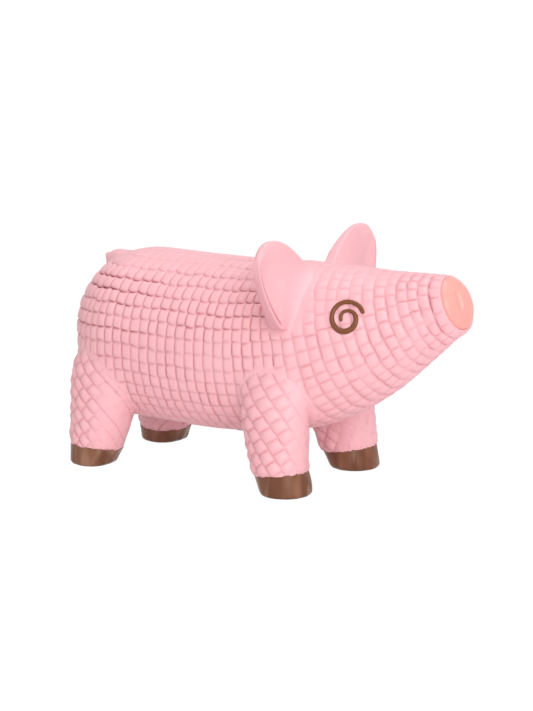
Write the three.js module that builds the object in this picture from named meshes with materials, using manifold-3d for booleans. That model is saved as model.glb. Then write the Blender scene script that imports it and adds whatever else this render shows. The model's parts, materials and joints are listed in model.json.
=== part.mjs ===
// A natural-latex squeaky pig for dogs, in the pieces it comes apart into on a bench: the moulded skin in
// its swelling members (trunk, ringed head, legs, ears, tail), dipped hooves, piped spiral eyes, a nose pad,
// a belly plug, the fibre wads that fill it, and the bellows squeaker with its reed whistle.
// Millimetres, +Z up, snout along +X, origin on the floor under the middle of the toy's own box.

import * as THREE from "three";
import { LoftGeometry } from "three/addons/geometries/LoftGeometry.js";
import { mergeVertices } from "three/addons/utils/BufferGeometryUtils.js";
import Module from "manifold-3d";

const wasm = await Module();
wasm.setup();

// Walls and clearances
const WALL = 2.4; // latex skin
const GAP = 0.3; // between pieces that seat on each other
const THROUGH = 5; // how far a cutting tool runs past what it cuts

// Skin stations from the haunches to the muzzle's rim. Each is an oval across the spine: its centre, the
// tilt of its plane (top leaning back, degrees), half width, rise above the centre and drop below it.
const HAUNCHES = { x: -37, z: 58.5, tilt: 0, halfWidth: 35.5, rise: 38.8, drop: 39.5 };
const BELLY = { x: -5, z: 57.5, tilt: 0, halfWidth: 36, rise: 39, drop: 39 };
const SHOULDERS = { x: 24, z: 58, tilt: 3, halfWidth: 35, rise: 38.5, drop: 38.5 };
const NECK = { x: 51, z: 62, tilt: 12, halfWidth: 32, rise: 36, drop: 36 }; // behind the ears
const CHEEKS = { x: 75, z: 70, tilt: 19, halfWidth: 26, rise: 28.5, drop: 30 };
const SNOUT = { x: 97, z: 78.5, tilt: 22, halfWidth: 18, rise: 19, drop: 21.3 };
const MUZZLE = { x: 116.5, z: 85, tilt: 22, halfWidth: 12.2, rise: 12.2, drop: 12.2 };
const STATIONS = [HAUNCHES, BELLY, SHOULDERS, NECK, CHEEKS, SNOUT, MUZZLE];
const BELLY_STATION = STATIONS.indexOf(BELLY);
const NECK_STATION = STATIONS.indexOf(NECK);
const RUMP_LENGTH = 38; // dome behind the haunches
const RUMP_FULLNESS = 2.02; // superellipse exponent of the dome
const OVAL_FULLNESS = 2.15; // superellipse exponent of each section
const MUZZLE_LIP = 1; // rounding of the muzzle's rim
const MUZZLE_WALL = 4;
const HEAD_RINGS = 14; // from the neck to the muzzle, with a cut between neighbours
const RING_CUT_WIDTH = 1.4;
const RING_CUT_DEPTH = 0.6;

// Legs: tapered columns that flare towards the belly
const FRONT_FOOT_X = 51;
const REAR_FOOT_X = -53;
const FRONT_FOOT_SPREAD = 59; // between the middles of the right and left feet
const REAR_FOOT_SPREAD = 55.5;
const FOOT_RADIUS = 11.8;
const LEG_HEIGHT = 62; // to the top of the shoulder or haunch
const LEG_FLARE_LENGTH = 9; // extra radius along the toy at the top
const LEG_FLARE_WIDTH = 4; // extra radius across the toy at the top
const FRONT_LEG_LEAN = 11; // top centre's shift towards the middle of the toy
const REAR_LEG_LEAN = 5.5;
const LEG_TUCK = 8; // top centre's shift towards the spine
const LEG_SHOULDER = 26; // height of the rounding at the leg's top
const HOOF_HEIGHT = 8.6;
const HOOF_WALL = 1.8;
const HOOF_SOLE = 2.6;
const HOOF_EDGE = 2; // rounding of the sole's edge

// Ears: cupped petals that flex on their roots
const EAR_STATION = 3.21; // where along the stations the root lies
const EAR_ANGLE = 39.5; // root's middle above the horizontal, degrees
const EAR_YAW = 5.7; // crown's edge turned forwards, degrees
const EAR_HALF_WIDTH = 17.6;
const EAR_HEIGHT = 28.9;
const EAR_SWEEP = 2.3; // tip's shift towards the crown
const EAR_LEAN = 2.1; // tip's shift forwards
const EAR_CUP = 0.9; // how far the rim stands forward of the middle
const EAR_THICKNESS = 5;
const EAR_TIP_THICKNESS = 3.4;
const EAR_OUTER_FULLNESS = 1.65; // superellipse exponent of the outline's outer side
const EAR_CROWN_FULLNESS = 2.2; // and of the side towards the crown
const EAR_ROOT_LENGTH = 33;
const EAR_ROOT_RISE = 1.2; // flexing line above the head's skin
const EAR_SEAT_DEPTH = 9; // how deep the seat's ridge reaches into the head
const EAR_SEAT_TOP = 1.2; // ridge's top below the flexing line
const EAR_SEAT_LIP = 1; // width of the ridge's lips beside the root

// Tail: a short tapered curl that lies back on the rump, with its tip turned up
const TAIL_ROOT = { x: -52.5, z: 87, radius: 4 };
const TAIL_CREST = { x: -57.5, z: 90.4, radius: 3.1 };
const TAIL_DIP = { x: -61.8, z: 89.6, radius: 2.5 };
const TAIL_TIP = { x: -65.2, z: 91, radius: 1 };

// Eyes: a piped spiral bead on each cheek
const EYE_X = 77.4;
const EYE_Z = 79;
const EYE_RADIUS = 7; // of the bead's middle line where it starts
const EYE_CORE = 1.9; // and where it ends
const EYE_START = 16; // degrees above the line to the snout
const EYE_TURN = 574; // degrees
const EYE_BEAD = 1.15; // radius of the bead

// Nose pad
const NOSE_RADIUS = 10.7;
const NOSE_EDGE = 1.4; // height of the pad's edge
const NOSE_DOME = 2.2; // rise of the pad's middle over its edge
const NOSE_POCKET = 1.2; // depth of its seat in the muzzle
const NOSTRIL_SPACING = 8.5;
const NOSTRIL_LENGTH = 7.5;
const NOSTRIL_WIDTH = 2.4;
const NOSTRIL_DEPTH = 1;

// Belly plug and squeaker
const PLUG_RADIUS = 14;
const BELLOWS_RADIUS = 15;
const BELLOWS_FOLD = 3; // depth of each pleat
const BELLOWS_PLEATS = 4;
const PLEAT_PITCH = 5;
const BELLOWS_WALL = 0.8;
const POCKET_CLEARANCE = 0.8; // fibre kept off the pleats
const WHISTLE_RADIUS = 7.4;
const WHISTLE_BORE = 5.8;
const WHISTLE_LENGTH = 12;
const WHISTLE_FLANGE_RADIUS = 9.6;
const WHISTLE_FLANGE = 1.6;
const REED_LENGTH = 7;
const REED_WIDTH = 5;
const REED_THICKNESS = 0.4;
const REED_GRIP = 1; // length held between the block and the wedge
const WEDGE_LENGTH = 4;
const AIR_CHANNEL_WIDTH = 3.4;
const AIR_CHANNEL_DEPTH = 2.8;
const AIR_CHANNEL_END = 1.6; // closed end of the channel

// Facets
const SKIN_SIDES = 28;
const LINER_SIDES = 20;
const LEG_SIDES = 16;
const ROUND_SIDES = 24;
const BEAD_SIDES = 8;
const BEAD_STEPS = 36;

// Finishes
const finish = (color, roughness) => new THREE.MeshStandardMaterial({ color, roughness, metalness: 0 });
const pinkLatex = finish(0xf6b6be, 0.6);
const brownLatex = finish(0x7c5846, 0.35);
const eyeLatex = finish(0x7a5638, 0.3);
const salmonLatex = finish(0xfdb3a2, 0.45);
const fibre = finish(0xf3f0ea, 1);
const polyethylene = finish(0xeef0f0, 0.45);
const whistlePlastic = finish(0xf4f4f2, 0.4);
const reedFilm = finish(0xd9dfe2, 0.3);

// A closed geometry as a solid that can be cut and joined.
function solid(geometry) {
  const bare = new THREE.BufferGeometry();
  bare.setAttribute("position", geometry.attributes.position);
  bare.setIndex(geometry.index);
  const merged = mergeVertices(bare, 1e-4);
  const triVerts = new Uint32Array(merged.index.array);
  const vertProperties = new Float32Array(merged.attributes.position.array);
  return new wasm.Manifold(new wasm.Mesh({ numProp: 3, vertProperties, triVerts }));
}

// A solid as a named mesh with flat facets.
function piece(name, made, material) {
  const { vertProperties, triVerts } = made.getMesh();
  const indexed = new THREE.BufferGeometry();
  indexed.setAttribute("position", new THREE.BufferAttribute(vertProperties, 3));
  indexed.setIndex(new THREE.BufferAttribute(triVerts, 1));
  const geometry = indexed.toNonIndexed();
  geometry.computeVertexNormals();
  const mesh = new THREE.Mesh(geometry, material);
  mesh.name = name;
  return mesh;
}

const radians = THREE.MathUtils.degToRad;
const signedPower = (value, power) => Math.sign(value) * Math.abs(value) ** power;
const steps = (from, to, count) =>
  Array.from({ length: count + 1 }, (_, i) => from + ((to - from) * i) / count);
const turn = (sides) => Array.from({ length: sides }, (_, i) => (i / sides) * Math.PI * 2);
const loft = (sections) => solid(new LoftGeometry(sections, { capStart: true, capEnd: true }));

// A solid of revolution about Z, from points of radius and height.
function revolve(profile) {
  const points = profile.map(([radius, height]) => new THREE.Vector2(radius, height));
  return solid(new THREE.LatheGeometry(points, ROUND_SIDES).rotateX(Math.PI / 2));
}

// An upright rod between two heights.
function rod(radius, from, to, x = 0) {
  const geometry = new THREE.CylinderGeometry(radius, radius, to - from, ROUND_SIDES);
  return solid(geometry.rotateX(Math.PI / 2).translate(x, 0, (from + to) / 2));
}

// Skin: one smooth surface from the rump to the muzzle
const LAST_STATION = STATIONS.length - 1;
const spine = new THREE.CatmullRomCurve3(STATIONS.map((s) => new THREE.Vector3(s.x, s.tilt, s.z)));
const girth = new THREE.CatmullRomCurve3(STATIONS.map((s) => new THREE.Vector3(s.halfWidth, s.rise, s.drop)));

// The oval at a place along the stations, from -1 at the rump's pole through 0 at the haunches.
function skinOval(place, inset) {
  const share = Math.max(place, 0) / LAST_STATION;
  const middle = spine.getPoint(share);
  const size = girth.getPoint(share);
  const polar = Math.min(1 + place, 1) * (Math.PI / 2);
  const shrink = Math.sin(polar) ** (2 / RUMP_FULLNESS);
  const back = (RUMP_LENGTH - inset) * Math.cos(polar) ** (2 / RUMP_FULLNESS);
  return {
    centre: new THREE.Vector3(middle.x - (place < 0 ? back : 0), 0, middle.z),
    tilt: radians(middle.y),
    halfWidth: (size.x - inset) * shrink,
    rise: (size.y - inset) * shrink,
    drop: (size.z - inset) * shrink,
  };
}

// A point of an oval, by its angle from the toy's left side up over the back.
function ovalPoint(oval, angle) {
  const across = oval.halfWidth * signedPower(Math.cos(angle), 2 / OVAL_FULLNESS);
  const reach = Math.sin(angle) > 0 ? oval.rise : oval.drop;
  const up = reach * signedPower(Math.sin(angle), 2 / OVAL_FULLNESS);
  const { centre, tilt } = oval;
  return new THREE.Vector3(centre.x - up * Math.sin(tilt), across, centre.z + up * Math.cos(tilt));
}

function skinRing(place, inset, sides) {
  const oval = skinOval(place, inset);
  return turn(sides).map((angle) => ovalPoint(oval, angle));
}

const RUMP_FLAT = 0.06; // the dome closes with a small flat, this share of its turn from the pole
const RUMP_POLE = -1 + RUMP_FLAT;
const CLOSEST_ROWS = 0.05; // in stations
const SKIN_ROWS = [...steps(RUMP_POLE, 0, 8), ...steps(0, LAST_STATION, 24)];
function skinRings(from, to, inset, sides) {
  const between = SKIN_ROWS.filter((row) => row > from + CLOSEST_ROWS && row < to - CLOSEST_ROWS);
  return [...new Set([from, ...between, to])].map((row) => skinRing(row, inset, sides));
}

// The head's rim is rounded in front of the last station.
const muzzle = skinOval(LAST_STATION, 0);
const muzzleNormal = new THREE.Vector3(Math.cos(muzzle.tilt), 0, Math.sin(muzzle.tilt));
function headLoft(rings, inset) {
  const lip = skinRing(LAST_STATION, inset + MUZZLE_LIP, SKIN_SIDES);
  lip.forEach((point) => point.addScaledVector(muzzleNormal, MUZZLE_LIP - inset));
  return loft([...rings, lip]);
}

const stationLength = (spine.getPoint(1).x - spine.getPoint(0).x) / LAST_STATION;
const gapStep = GAP / stationLength;

// The head's rings, each with a V-shaped cut before the next one.
function carvedRings() {
  const half = RING_CUT_WIDTH / 2 / stationLength;
  const cuts = steps(NECK_STATION, LAST_STATION, HEAD_RINGS).slice(1, -1);
  const rows = cuts.flatMap((cut) => [[cut - half, 0], [cut, RING_CUT_DEPTH], [cut + half, 0]]);
  const ends = [[NECK_STATION + gapStep, 0], ...rows, [LAST_STATION, 0]];
  return ends.map(([place, inset]) => skinRing(place, inset, SKIN_SIDES));
}

const trunkOuter = loft(skinRings(RUMP_POLE, NECK_STATION, 0, SKIN_SIDES));
const trunkClear = loft(skinRings(RUMP_POLE, NECK_STATION + gapStep, -GAP, SKIN_SIDES));
const headCarved = headLoft(carvedRings(), 0);
const headSmooth = headLoft(skinRings(NECK_STATION + gapStep, LAST_STATION, 0, SKIN_SIDES), 0);
const headClear = headLoft(skinRings(NECK_STATION, LAST_STATION, -GAP, SKIN_SIDES), -GAP);
const cavityEnd = LAST_STATION - MUZZLE_WALL / stationLength;
const cavity = loft(skinRings(RUMP_POLE, cavityEnd, WALL, LINER_SIDES));
const fillInset = WALL + GAP;

// Legs and hooves, built for the right side: at is 1 for the front pair and -1 for the rear one
function legRing(at, height, inset) {
  const share = height / LEG_HEIGHT;
  const rounding = Math.max(height - (LEG_HEIGHT - LEG_SHOULDER), 0) / LEG_SHOULDER;
  const shrink = Math.sqrt(1 - rounding ** 2);
  const x = at > 0 ? FRONT_FOOT_X - FRONT_LEG_LEAN * share : REAR_FOOT_X + REAR_LEG_LEAN * share;
  const y = LEG_TUCK * share - (at > 0 ? FRONT_FOOT_SPREAD : REAR_FOOT_SPREAD) / 2;
  const along = (FOOT_RADIUS + LEG_FLARE_LENGTH * share) * shrink - inset;
  const across = (FOOT_RADIUS + LEG_FLARE_WIDTH * share) * shrink - inset;
  return turn(LEG_SIDES).map(
    (angle) => new THREE.Vector3(x + along * Math.cos(angle), y + across * Math.sin(angle), height),
  );
}

const legLoft = (at, from, to, inset, rows) =>
  loft(steps(from, to, rows).map((height) => legRing(at, height, inset)));

const offSkin = (made) => made.subtract(trunkClear).subtract(headClear);
const spigotInset = HOOF_WALL + GAP;
const legCavity = (at, inset) =>
  legLoft(at, HOOF_SOLE + GAP + WALL + inset, LEG_HEIGHT - LEG_SHOULDER, spigotInset + WALL + inset, 4);

function hoofSolid(at) {
  const edge = steps(0, Math.PI / 2, 3).map((slope) =>
    legRing(at, HOOF_EDGE * (1 - Math.cos(slope)), HOOF_EDGE * (1 - Math.sin(slope))),
  );
  const outer = loft([...edge, legRing(at, HOOF_HEIGHT, 0)]);
  return outer.subtract(legLoft(at, HOOF_SOLE, HOOF_HEIGHT + THROUGH, HOOF_WALL, 1));
}

function legSolid(at) {
  const straight = steps(HOOF_HEIGHT + GAP, LEG_HEIGHT - LEG_SHOULDER, 3);
  const rounded = steps(0, 0.9, 4).map((share) => LEG_HEIGHT - LEG_SHOULDER * (1 - share));
  const shank = loft([...straight, ...rounded.slice(1)].map((height) => legRing(at, height, 0)));
  const spigot = legLoft(at, HOOF_SOLE + GAP, HOOF_HEIGHT + WALL, spigotInset, 1);
  return offSkin(shank.add(spigot).subtract(legCavity(at, 0)));
}

const legFillSolid = (at) => offSkin(legCavity(at, GAP));

// Ears, built for the right side in their own frame: x towards the crown, y outwards, z forwards
const earOval = skinOval(EAR_STATION, 0);
const earAngle = Math.PI - radians(EAR_ANGLE);
const EAR_CHORD = 0.05; // radians either side of the root's middle, for its direction on the oval
const earAlong = ovalPoint(earOval, earAngle - EAR_CHORD)
  .sub(ovalPoint(earOval, earAngle + EAR_CHORD))
  .normalize();
const earForward = new THREE.Vector3(Math.cos(earOval.tilt), 0, Math.sin(earOval.tilt));
const earOutward = new THREE.Vector3().crossVectors(earForward, earAlong);
earAlong.applyAxisAngle(earOutward, -radians(EAR_YAW));
earForward.applyAxisAngle(earOutward, -radians(EAR_YAW));
const earRoot = ovalPoint(earOval, earAngle).addScaledVector(earOutward, EAR_ROOT_RISE);
const earPlace = new THREE.Matrix4().makeBasis(earAlong, earOutward, earForward).setPosition(earRoot);
const knuckleRadius = EAR_THICKNESS / 2;

function earRing(share) {
  const outline = (fullness) => (1 - share ** fullness) ** (1 / fullness);
  const thick = THREE.MathUtils.lerp(EAR_THICKNESS, EAR_TIP_THICKNESS, share) / 2;
  return turn(ROUND_SIDES).map((angle) => {
    const across = -signedPower(Math.cos(angle), 0.8);
    const half = EAR_HALF_WIDTH * outline(across < 0 ? EAR_OUTER_FULLNESS : EAR_CROWN_FULLNESS);
    const cup = EAR_CUP * across ** 2 * Math.min(2 * share, 1);
    const z = thick * signedPower(Math.sin(angle), 0.6) + cup + EAR_LEAN * share ** 2;
    return new THREE.Vector3(half * across + EAR_SWEEP * share, EAR_HEIGHT * share, z);
  });
}

function earRod(radius, length) {
  const sides = 16;
  const upright = new THREE.CylinderGeometry(radius, radius, length, sides);
  return solid(upright.rotateZ(Math.PI / 2).applyMatrix4(earPlace));
}

function earSolid() {
  const shares = [0, 0.12, 0.26, 0.42, 0.58, 0.72, 0.84, 0.93, 0.98];
  const blade = new LoftGeometry(shares.map(earRing), { capStart: true, capEnd: true });
  return solid(blade.applyMatrix4(earPlace)).add(earRod(knuckleRadius, EAR_ROOT_LENGTH));
}

// The ridge on the head that the ear's root lies in, with the trough that clears it.
function earSeat() {
  const half = knuckleRadius + GAP + EAR_SEAT_LIP;
  const height = EAR_SEAT_DEPTH - EAR_SEAT_TOP;
  const ridge = new THREE.BoxGeometry(EAR_ROOT_LENGTH, height, half * 2);
  ridge.translate(0, -EAR_SEAT_TOP - height / 2, 0);
  return solid(ridge.applyMatrix4(earPlace)).subtract(trunkClear);
}

const earTrough = () => earRod(knuckleRadius + GAP, EAR_ROOT_LENGTH + THROUGH);

// Mirror image in the toy's middle plane
function mirrored(made) {
  const { vertProperties, triVerts } = made.getMesh();
  const flipped = new THREE.BufferGeometry();
  flipped.setAttribute("position", new THREE.BufferAttribute(vertProperties.slice(), 3));
  flipped.scale(1, -1, 1);
  flipped.setIndex(new THREE.BufferAttribute(triVerts.slice().reverse(), 1));
  return solid(flipped);
}

// Tail
function tailSolid() {
  const knots = [TAIL_ROOT, TAIL_CREST, TAIL_DIP, TAIL_TIP];
  const path = new THREE.CatmullRomCurve3(knots.map((knot) => new THREE.Vector3(knot.x, 0, knot.z)));
  const girths = new THREE.SplineCurve(knots.map((knot, i) => new THREE.Vector2(i, knot.radius)));
  const rows = 12;
  const across = new THREE.Vector3(0, 1, 0);
  const sections = steps(0, 1, rows).map((share) => {
    const middle = path.getPoint(share);
    const radius = girths.getPoint(share).y;
    const over = new THREE.Vector3().crossVectors(path.getTangent(share), across);
    return turn(ROUND_SIDES / 2).map((angle) =>
      middle
        .clone()
        .addScaledVector(across, radius * Math.cos(angle))
        .addScaledVector(over, radius * Math.sin(angle)),
    );
  });
  return loft(sections).subtract(trunkClear);
}

// Eye: the bead's middle line is laid on the right cheek, seen from the side
function eyeSolid() {
  const cheek = piece("cheek", headSmooth, pinkLatex);
  const sight = new THREE.Raycaster();
  const inwards = new THREE.Vector3(0, 1, 0);
  const line = steps(0, 1, BEAD_STEPS).map((share) => {
    const angle = radians(EYE_START + EYE_TURN * share);
    const radius = THREE.MathUtils.lerp(EYE_RADIUS, EYE_CORE, share ** 2);
    const x = EYE_X + radius * Math.cos(angle);
    const z = EYE_Z + radius * Math.sin(angle);
    sight.set(new THREE.Vector3(x, -2 * NECK.halfWidth, z), inwards);
    const [hit] = sight.intersectObject(cheek);
    return hit.point.addScaledVector(inwards, -GAP);
  });
  const round = turn(BEAD_SIDES).map((a) => new THREE.Vector2(Math.cos(a), Math.sin(a)));
  const rim = new THREE.Shape(round.map((point) => point.multiplyScalar(EYE_BEAD)));
  const extrudePath = new THREE.CatmullRomCurve3(line);
  const bead = new THREE.ExtrudeGeometry(rim, { steps: BEAD_STEPS, extrudePath });
  return solid(bead).subtract(headClear);
}

// Nose pad, in its own frame: x to the toy's left, y up, z out of the muzzle
const noseUp = new THREE.Vector3(-muzzleNormal.z, 0, muzzleNormal.x);
const noseCentre = muzzle.centre.clone().addScaledVector(muzzleNormal, MUZZLE_LIP - NOSE_POCKET);
const nosePlace = new THREE.Matrix4().makeBasis(new THREE.Vector3(0, 1, 0), noseUp, muzzleNormal);
nosePlace.setPosition(noseCentre);

function nosePocket() {
  const height = NOSE_POCKET + THROUGH;
  const disc = new THREE.CylinderGeometry(NOSE_RADIUS + GAP, NOSE_RADIUS + GAP, height, ROUND_SIDES);
  return solid(disc.rotateX(Math.PI / 2).translate(0, 0, height / 2).applyMatrix4(nosePlace));
}

function noseSolid() {
  const dome = steps(0, Math.PI / 2, 4).map((slope) => [
    NOSE_RADIUS * Math.cos(slope),
    GAP + NOSE_EDGE + NOSE_DOME * Math.sin(slope),
  ]);
  const profile = [[0, GAP], [NOSE_RADIUS, GAP], ...dome];
  const points = profile.map(([radius, height]) => new THREE.Vector2(radius, height));
  const pad = new THREE.LatheGeometry(points, ROUND_SIDES).rotateX(Math.PI / 2);
  const nostrilZ = GAP + NOSE_EDGE + NOSE_DOME;
  const nostrils = [-1, 1].map((side) =>
    new THREE.SphereGeometry(1, 12, 8)
      .scale(NOSTRIL_WIDTH / 2, NOSTRIL_LENGTH / 2, NOSTRIL_DEPTH)
      .translate((side * NOSTRIL_SPACING) / 2, 0, nostrilZ),
  );
  return nostrils.reduce(
    (made, nostril) => made.subtract(solid(nostril.applyMatrix4(nosePlace))),
    solid(pad.applyMatrix4(nosePlace)),
  );
}

// Belly plug, squeaker pocket and squeaker, whose foot stands on the plug
const bellyOval = skinOval(BELLY_STATION, WALL);
const squeakerX = bellyOval.centre.x;
const bellowsFoot = BELLOWS_RADIUS - BELLOWS_FOLD;
const footDrop = (1 - (bellowsFoot / bellyOval.halfWidth) ** OVAL_FULLNESS) ** (1 / OVAL_FULLNESS);
const footZ = bellyOval.centre.z - bellyOval.drop * footDrop + GAP;
const bellowsHeight = BELLOWS_PLEATS * PLEAT_PITCH + 2 * BELLOWS_WALL;
const pocketTop = footZ + bellowsHeight + GAP + WHISTLE_FLANGE + GAP;
const plugHole = rod(PLUG_RADIUS, 0, bellyOval.centre.z, squeakerX);
const plugCutter = rod(PLUG_RADIUS - GAP, 0, bellyOval.centre.z, squeakerX);
const squeakerPocket = rod(BELLOWS_RADIUS + POCKET_CLEARANCE, 0, pocketTop, squeakerX);

function bellowsSolid() {
  const folds = (from, shift) =>
    steps(0, BELLOWS_PLEATS, 2 * BELLOWS_PLEATS).map((fold, i) => [
      BELLOWS_RADIUS - (i % 2 ? 0 : BELLOWS_FOLD) - shift,
      from + fold * PLEAT_PITCH,
    ]);
  const mouth = WHISTLE_RADIUS + GAP;
  const outer = [[0, 0], [bellowsFoot, 0], ...folds(BELLOWS_WALL, 0), [bellowsFoot, bellowsHeight]];
  const lip = [[mouth, bellowsHeight], [mouth, bellowsHeight - BELLOWS_WALL]];
  return revolve([...outer, ...lip, ...folds(BELLOWS_WALL, BELLOWS_WALL).reverse(), [0, BELLOWS_WALL]]);
}

// The whistle hangs through the bellows' mouth. Its own heights run down from the flange's seat.
const whistleZ = bellowsHeight + GAP;
function whistleSolid() {
  return revolve([
    [WHISTLE_BORE, whistleZ - WHISTLE_LENGTH],
    [WHISTLE_RADIUS, whistleZ - WHISTLE_LENGTH],
    [WHISTLE_RADIUS, whistleZ],
    [WHISTLE_FLANGE_RADIUS, whistleZ],
    [WHISTLE_FLANGE_RADIUS, whistleZ + WHISTLE_FLANGE],
    [WHISTLE_BORE, whistleZ + WHISTLE_FLANGE],
    [WHISTLE_BORE, whistleZ - WHISTLE_LENGTH],
  ]);
}

const insertRadius = WHISTLE_BORE - GAP;
const reedFace = GAP + REED_THICKNESS + GAP; // the wedge's flat, over the block's flat at zero
function box(width, depth, height, y, z) {
  return solid(new THREE.BoxGeometry(width, depth, height).translate(0, y + depth / 2, z + height / 2));
}

// A length of round insert in the bore, kept from one flat across it to the far wall.
function insert(length, from) {
  const round = rod(insertRadius, whistleZ - length, whistleZ);
  const wide = 4 * WHISTLE_BORE;
  return round.intersect(box(wide, wide, length + 2 * THROUGH, from, whistleZ - length - THROUGH));
}

function reedBlockSolid() {
  const channelBase = whistleZ - WHISTLE_LENGTH + AIR_CHANNEL_END;
  const channelHeight = WHISTLE_LENGTH + THROUGH;
  const channelDepth = AIR_CHANNEL_DEPTH + THROUGH;
  const channel = box(AIR_CHANNEL_WIDTH, channelDepth, channelHeight, -AIR_CHANNEL_DEPTH, channelBase);
  return insert(WHISTLE_LENGTH, -4 * WHISTLE_BORE).subtract(channel);
}

const reedZ = whistleZ - WEDGE_LENGTH + REED_GRIP - REED_LENGTH;
const reedSolid = () => box(REED_WIDTH, REED_THICKNESS, REED_LENGTH, GAP, reedZ);
const reedWedgeSolid = () => insert(WEDGE_LENGTH, reedFace);

// Skins and fills
function trunkSkin() {
  const shell = trunkOuter.subtract(cavity).subtract(plugHole);
  return [1, -1].reduce((made, at) => {
    const hole = legCavity(at, 0);
    return made.subtract(hole).subtract(mirrored(hole));
  }, shell);
}

function headSkin() {
  const seat = earSeat();
  const trough = earTrough();
  const form = headCarved.add(seat).add(mirrored(seat));
  return form.subtract(cavity).subtract(trough).subtract(mirrored(trough)).subtract(nosePocket());
}

const bellyPlug = () => trunkOuter.subtract(cavity).intersect(plugCutter);
const trunkFill = () =>
  loft(skinRings(RUMP_POLE, NECK_STATION, fillInset, LINER_SIDES)).subtract(squeakerPocket);
const headFill = () =>
  loft(skinRings(NECK_STATION + gapStep, cavityEnd - gapStep, fillInset, LINER_SIDES));

// Assembly
const toy = new THREE.Group();
toy.add(piece("trunk_skin", trunkSkin(), pinkLatex));
toy.add(piece("head_skin", headSkin(), pinkLatex));
toy.add(piece("tail", tailSolid(), pinkLatex));
toy.add(piece("nose_pad", noseSolid(), salmonLatex));
toy.add(piece("belly_plug", bellyPlug(), pinkLatex));
toy.add(piece("trunk_fill", trunkFill(), fibre));
toy.add(piece("head_fill", headFill(), fibre));

const ear = earSolid();
const eye = eyeSolid();
const ends = Object.entries({ front: 1, rear: -1 }).map(([end, at]) => ({
  end,
  leg: legSolid(at),
  hoof: hoofSolid(at),
  fill: legFillSolid(at),
}));
for (const [side, reflect] of Object.entries({ right: 1, left: -1 })) {
  const half = new THREE.Group();
  half.scale.y = reflect;
  half.add(piece(`ear_${side}`, ear, pinkLatex));
  half.add(piece(`eye_${side}`, eye, eyeLatex));
  for (const { end, leg, hoof, fill } of ends) {
    half.add(piece(`leg_${end}_${side}`, leg, pinkLatex));
    half.add(piece(`hoof_${end}_${side}`, hoof, brownLatex));
    half.add(piece(`leg_fill_${end}_${side}`, fill, fibre));
  }
  toy.add(half);
}

const squeaker = new THREE.Group();
squeaker.position.set(squeakerX, 0, footZ);
squeaker.add(piece("squeaker_bellows", bellowsSolid(), polyethylene));
squeaker.add(piece("whistle_body", whistleSolid(), whistlePlastic));
squeaker.add(piece("reed_block", reedBlockSolid(), whistlePlastic));
squeaker.add(piece("reed_wedge", reedWedgeSolid(), whistlePlastic));
squeaker.add(piece("reed", reedSolid(), reedFilm));
toy.add(squeaker);

const extent = new THREE.Box3().setFromObject(toy);
toy.position.x = -(extent.min.x + extent.max.x) / 2;

export default toy;
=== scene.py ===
# A natural-latex squeaky pig for dogs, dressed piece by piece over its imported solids: the carved pink skin
# with its legs, ears and tail, dipped hooves, piped eyes, the nose pad, and the fibre and squeaker inside.
# Lengths are millimetres in the toy's own frame, and become metres where a mesh is made.
import json
import math

import bpy
import numpy as np
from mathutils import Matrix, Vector


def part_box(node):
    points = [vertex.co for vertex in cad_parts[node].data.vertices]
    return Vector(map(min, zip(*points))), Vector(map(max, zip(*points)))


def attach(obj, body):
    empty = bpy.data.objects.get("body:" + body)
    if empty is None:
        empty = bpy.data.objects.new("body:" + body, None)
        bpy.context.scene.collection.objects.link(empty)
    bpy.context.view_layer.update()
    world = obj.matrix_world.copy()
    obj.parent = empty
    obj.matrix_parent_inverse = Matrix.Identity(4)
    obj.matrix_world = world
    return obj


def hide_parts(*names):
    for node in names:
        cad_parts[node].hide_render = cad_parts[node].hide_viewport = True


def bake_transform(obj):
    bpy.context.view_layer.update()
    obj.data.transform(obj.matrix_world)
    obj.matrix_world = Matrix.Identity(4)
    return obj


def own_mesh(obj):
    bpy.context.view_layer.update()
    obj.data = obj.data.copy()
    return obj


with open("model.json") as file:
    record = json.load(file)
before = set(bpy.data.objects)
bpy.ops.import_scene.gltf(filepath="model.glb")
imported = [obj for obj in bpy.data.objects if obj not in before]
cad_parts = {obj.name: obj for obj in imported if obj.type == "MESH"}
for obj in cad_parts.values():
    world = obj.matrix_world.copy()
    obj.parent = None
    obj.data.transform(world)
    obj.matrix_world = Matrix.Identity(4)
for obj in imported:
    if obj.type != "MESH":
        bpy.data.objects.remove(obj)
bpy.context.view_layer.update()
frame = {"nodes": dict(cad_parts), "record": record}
bpy.ops.object.select_all(action="DESELECT")

# Trunk skin: the hollow latex barrel from the neck round the rump, cast in a mould whose pads were cut by
# hand. The pads lie in rows that run along one flank, round the rump and back along the other.
MM = 0.001
FRONT_FOOT_X = 51
sole = next(m for m in frame["record"]["mounts"] if m["name"] == "sole_front_right")
SHIFT = np.array([sole["pos_m"][0] / MM - FRONT_FOOT_X, 0, 0])  # the toy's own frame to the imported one
WALL = 2.4
STATIONS = np.array([  # x, tilt, z, half width, rise and drop of each oval across the spine
    [-37, 0, 58.5, 35.5, 38.8, 39.5],  # haunches
    [-5, 0, 57.5, 36, 39, 39],  # belly
    [24, 3, 58, 35, 38.5, 38.5],  # shoulders
    [51, 12, 62, 32, 36, 36],  # neck
    [75, 19, 70, 26, 28.5, 30],  # cheeks
    [97, 22, 78.5, 18, 19, 21.3],  # snout
    [116.5, 22, 85, 12.2, 12.2, 12.2],  # muzzle rim
])
NECK = 3
MUZZLE = 6
RUMP_LENGTH = 38
RUMP_FULLNESS = 2.02
OVAL_FULLNESS = 2.15
LEG_HEIGHT = 62
LEG_SHOULDER = 26
FOOT_RADIUS = 11.8
LEG_FLARE = (9, 4)  # extra radius at the top, along and across the toy
LEG_TUCK = 8  # the top's shift towards the spine
FRONT = {"x": FRONT_FOOT_X, "lean": -11, "spread": 59}
REAR = {"x": -53, "lean": 5.5, "spread": 55.5}
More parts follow.
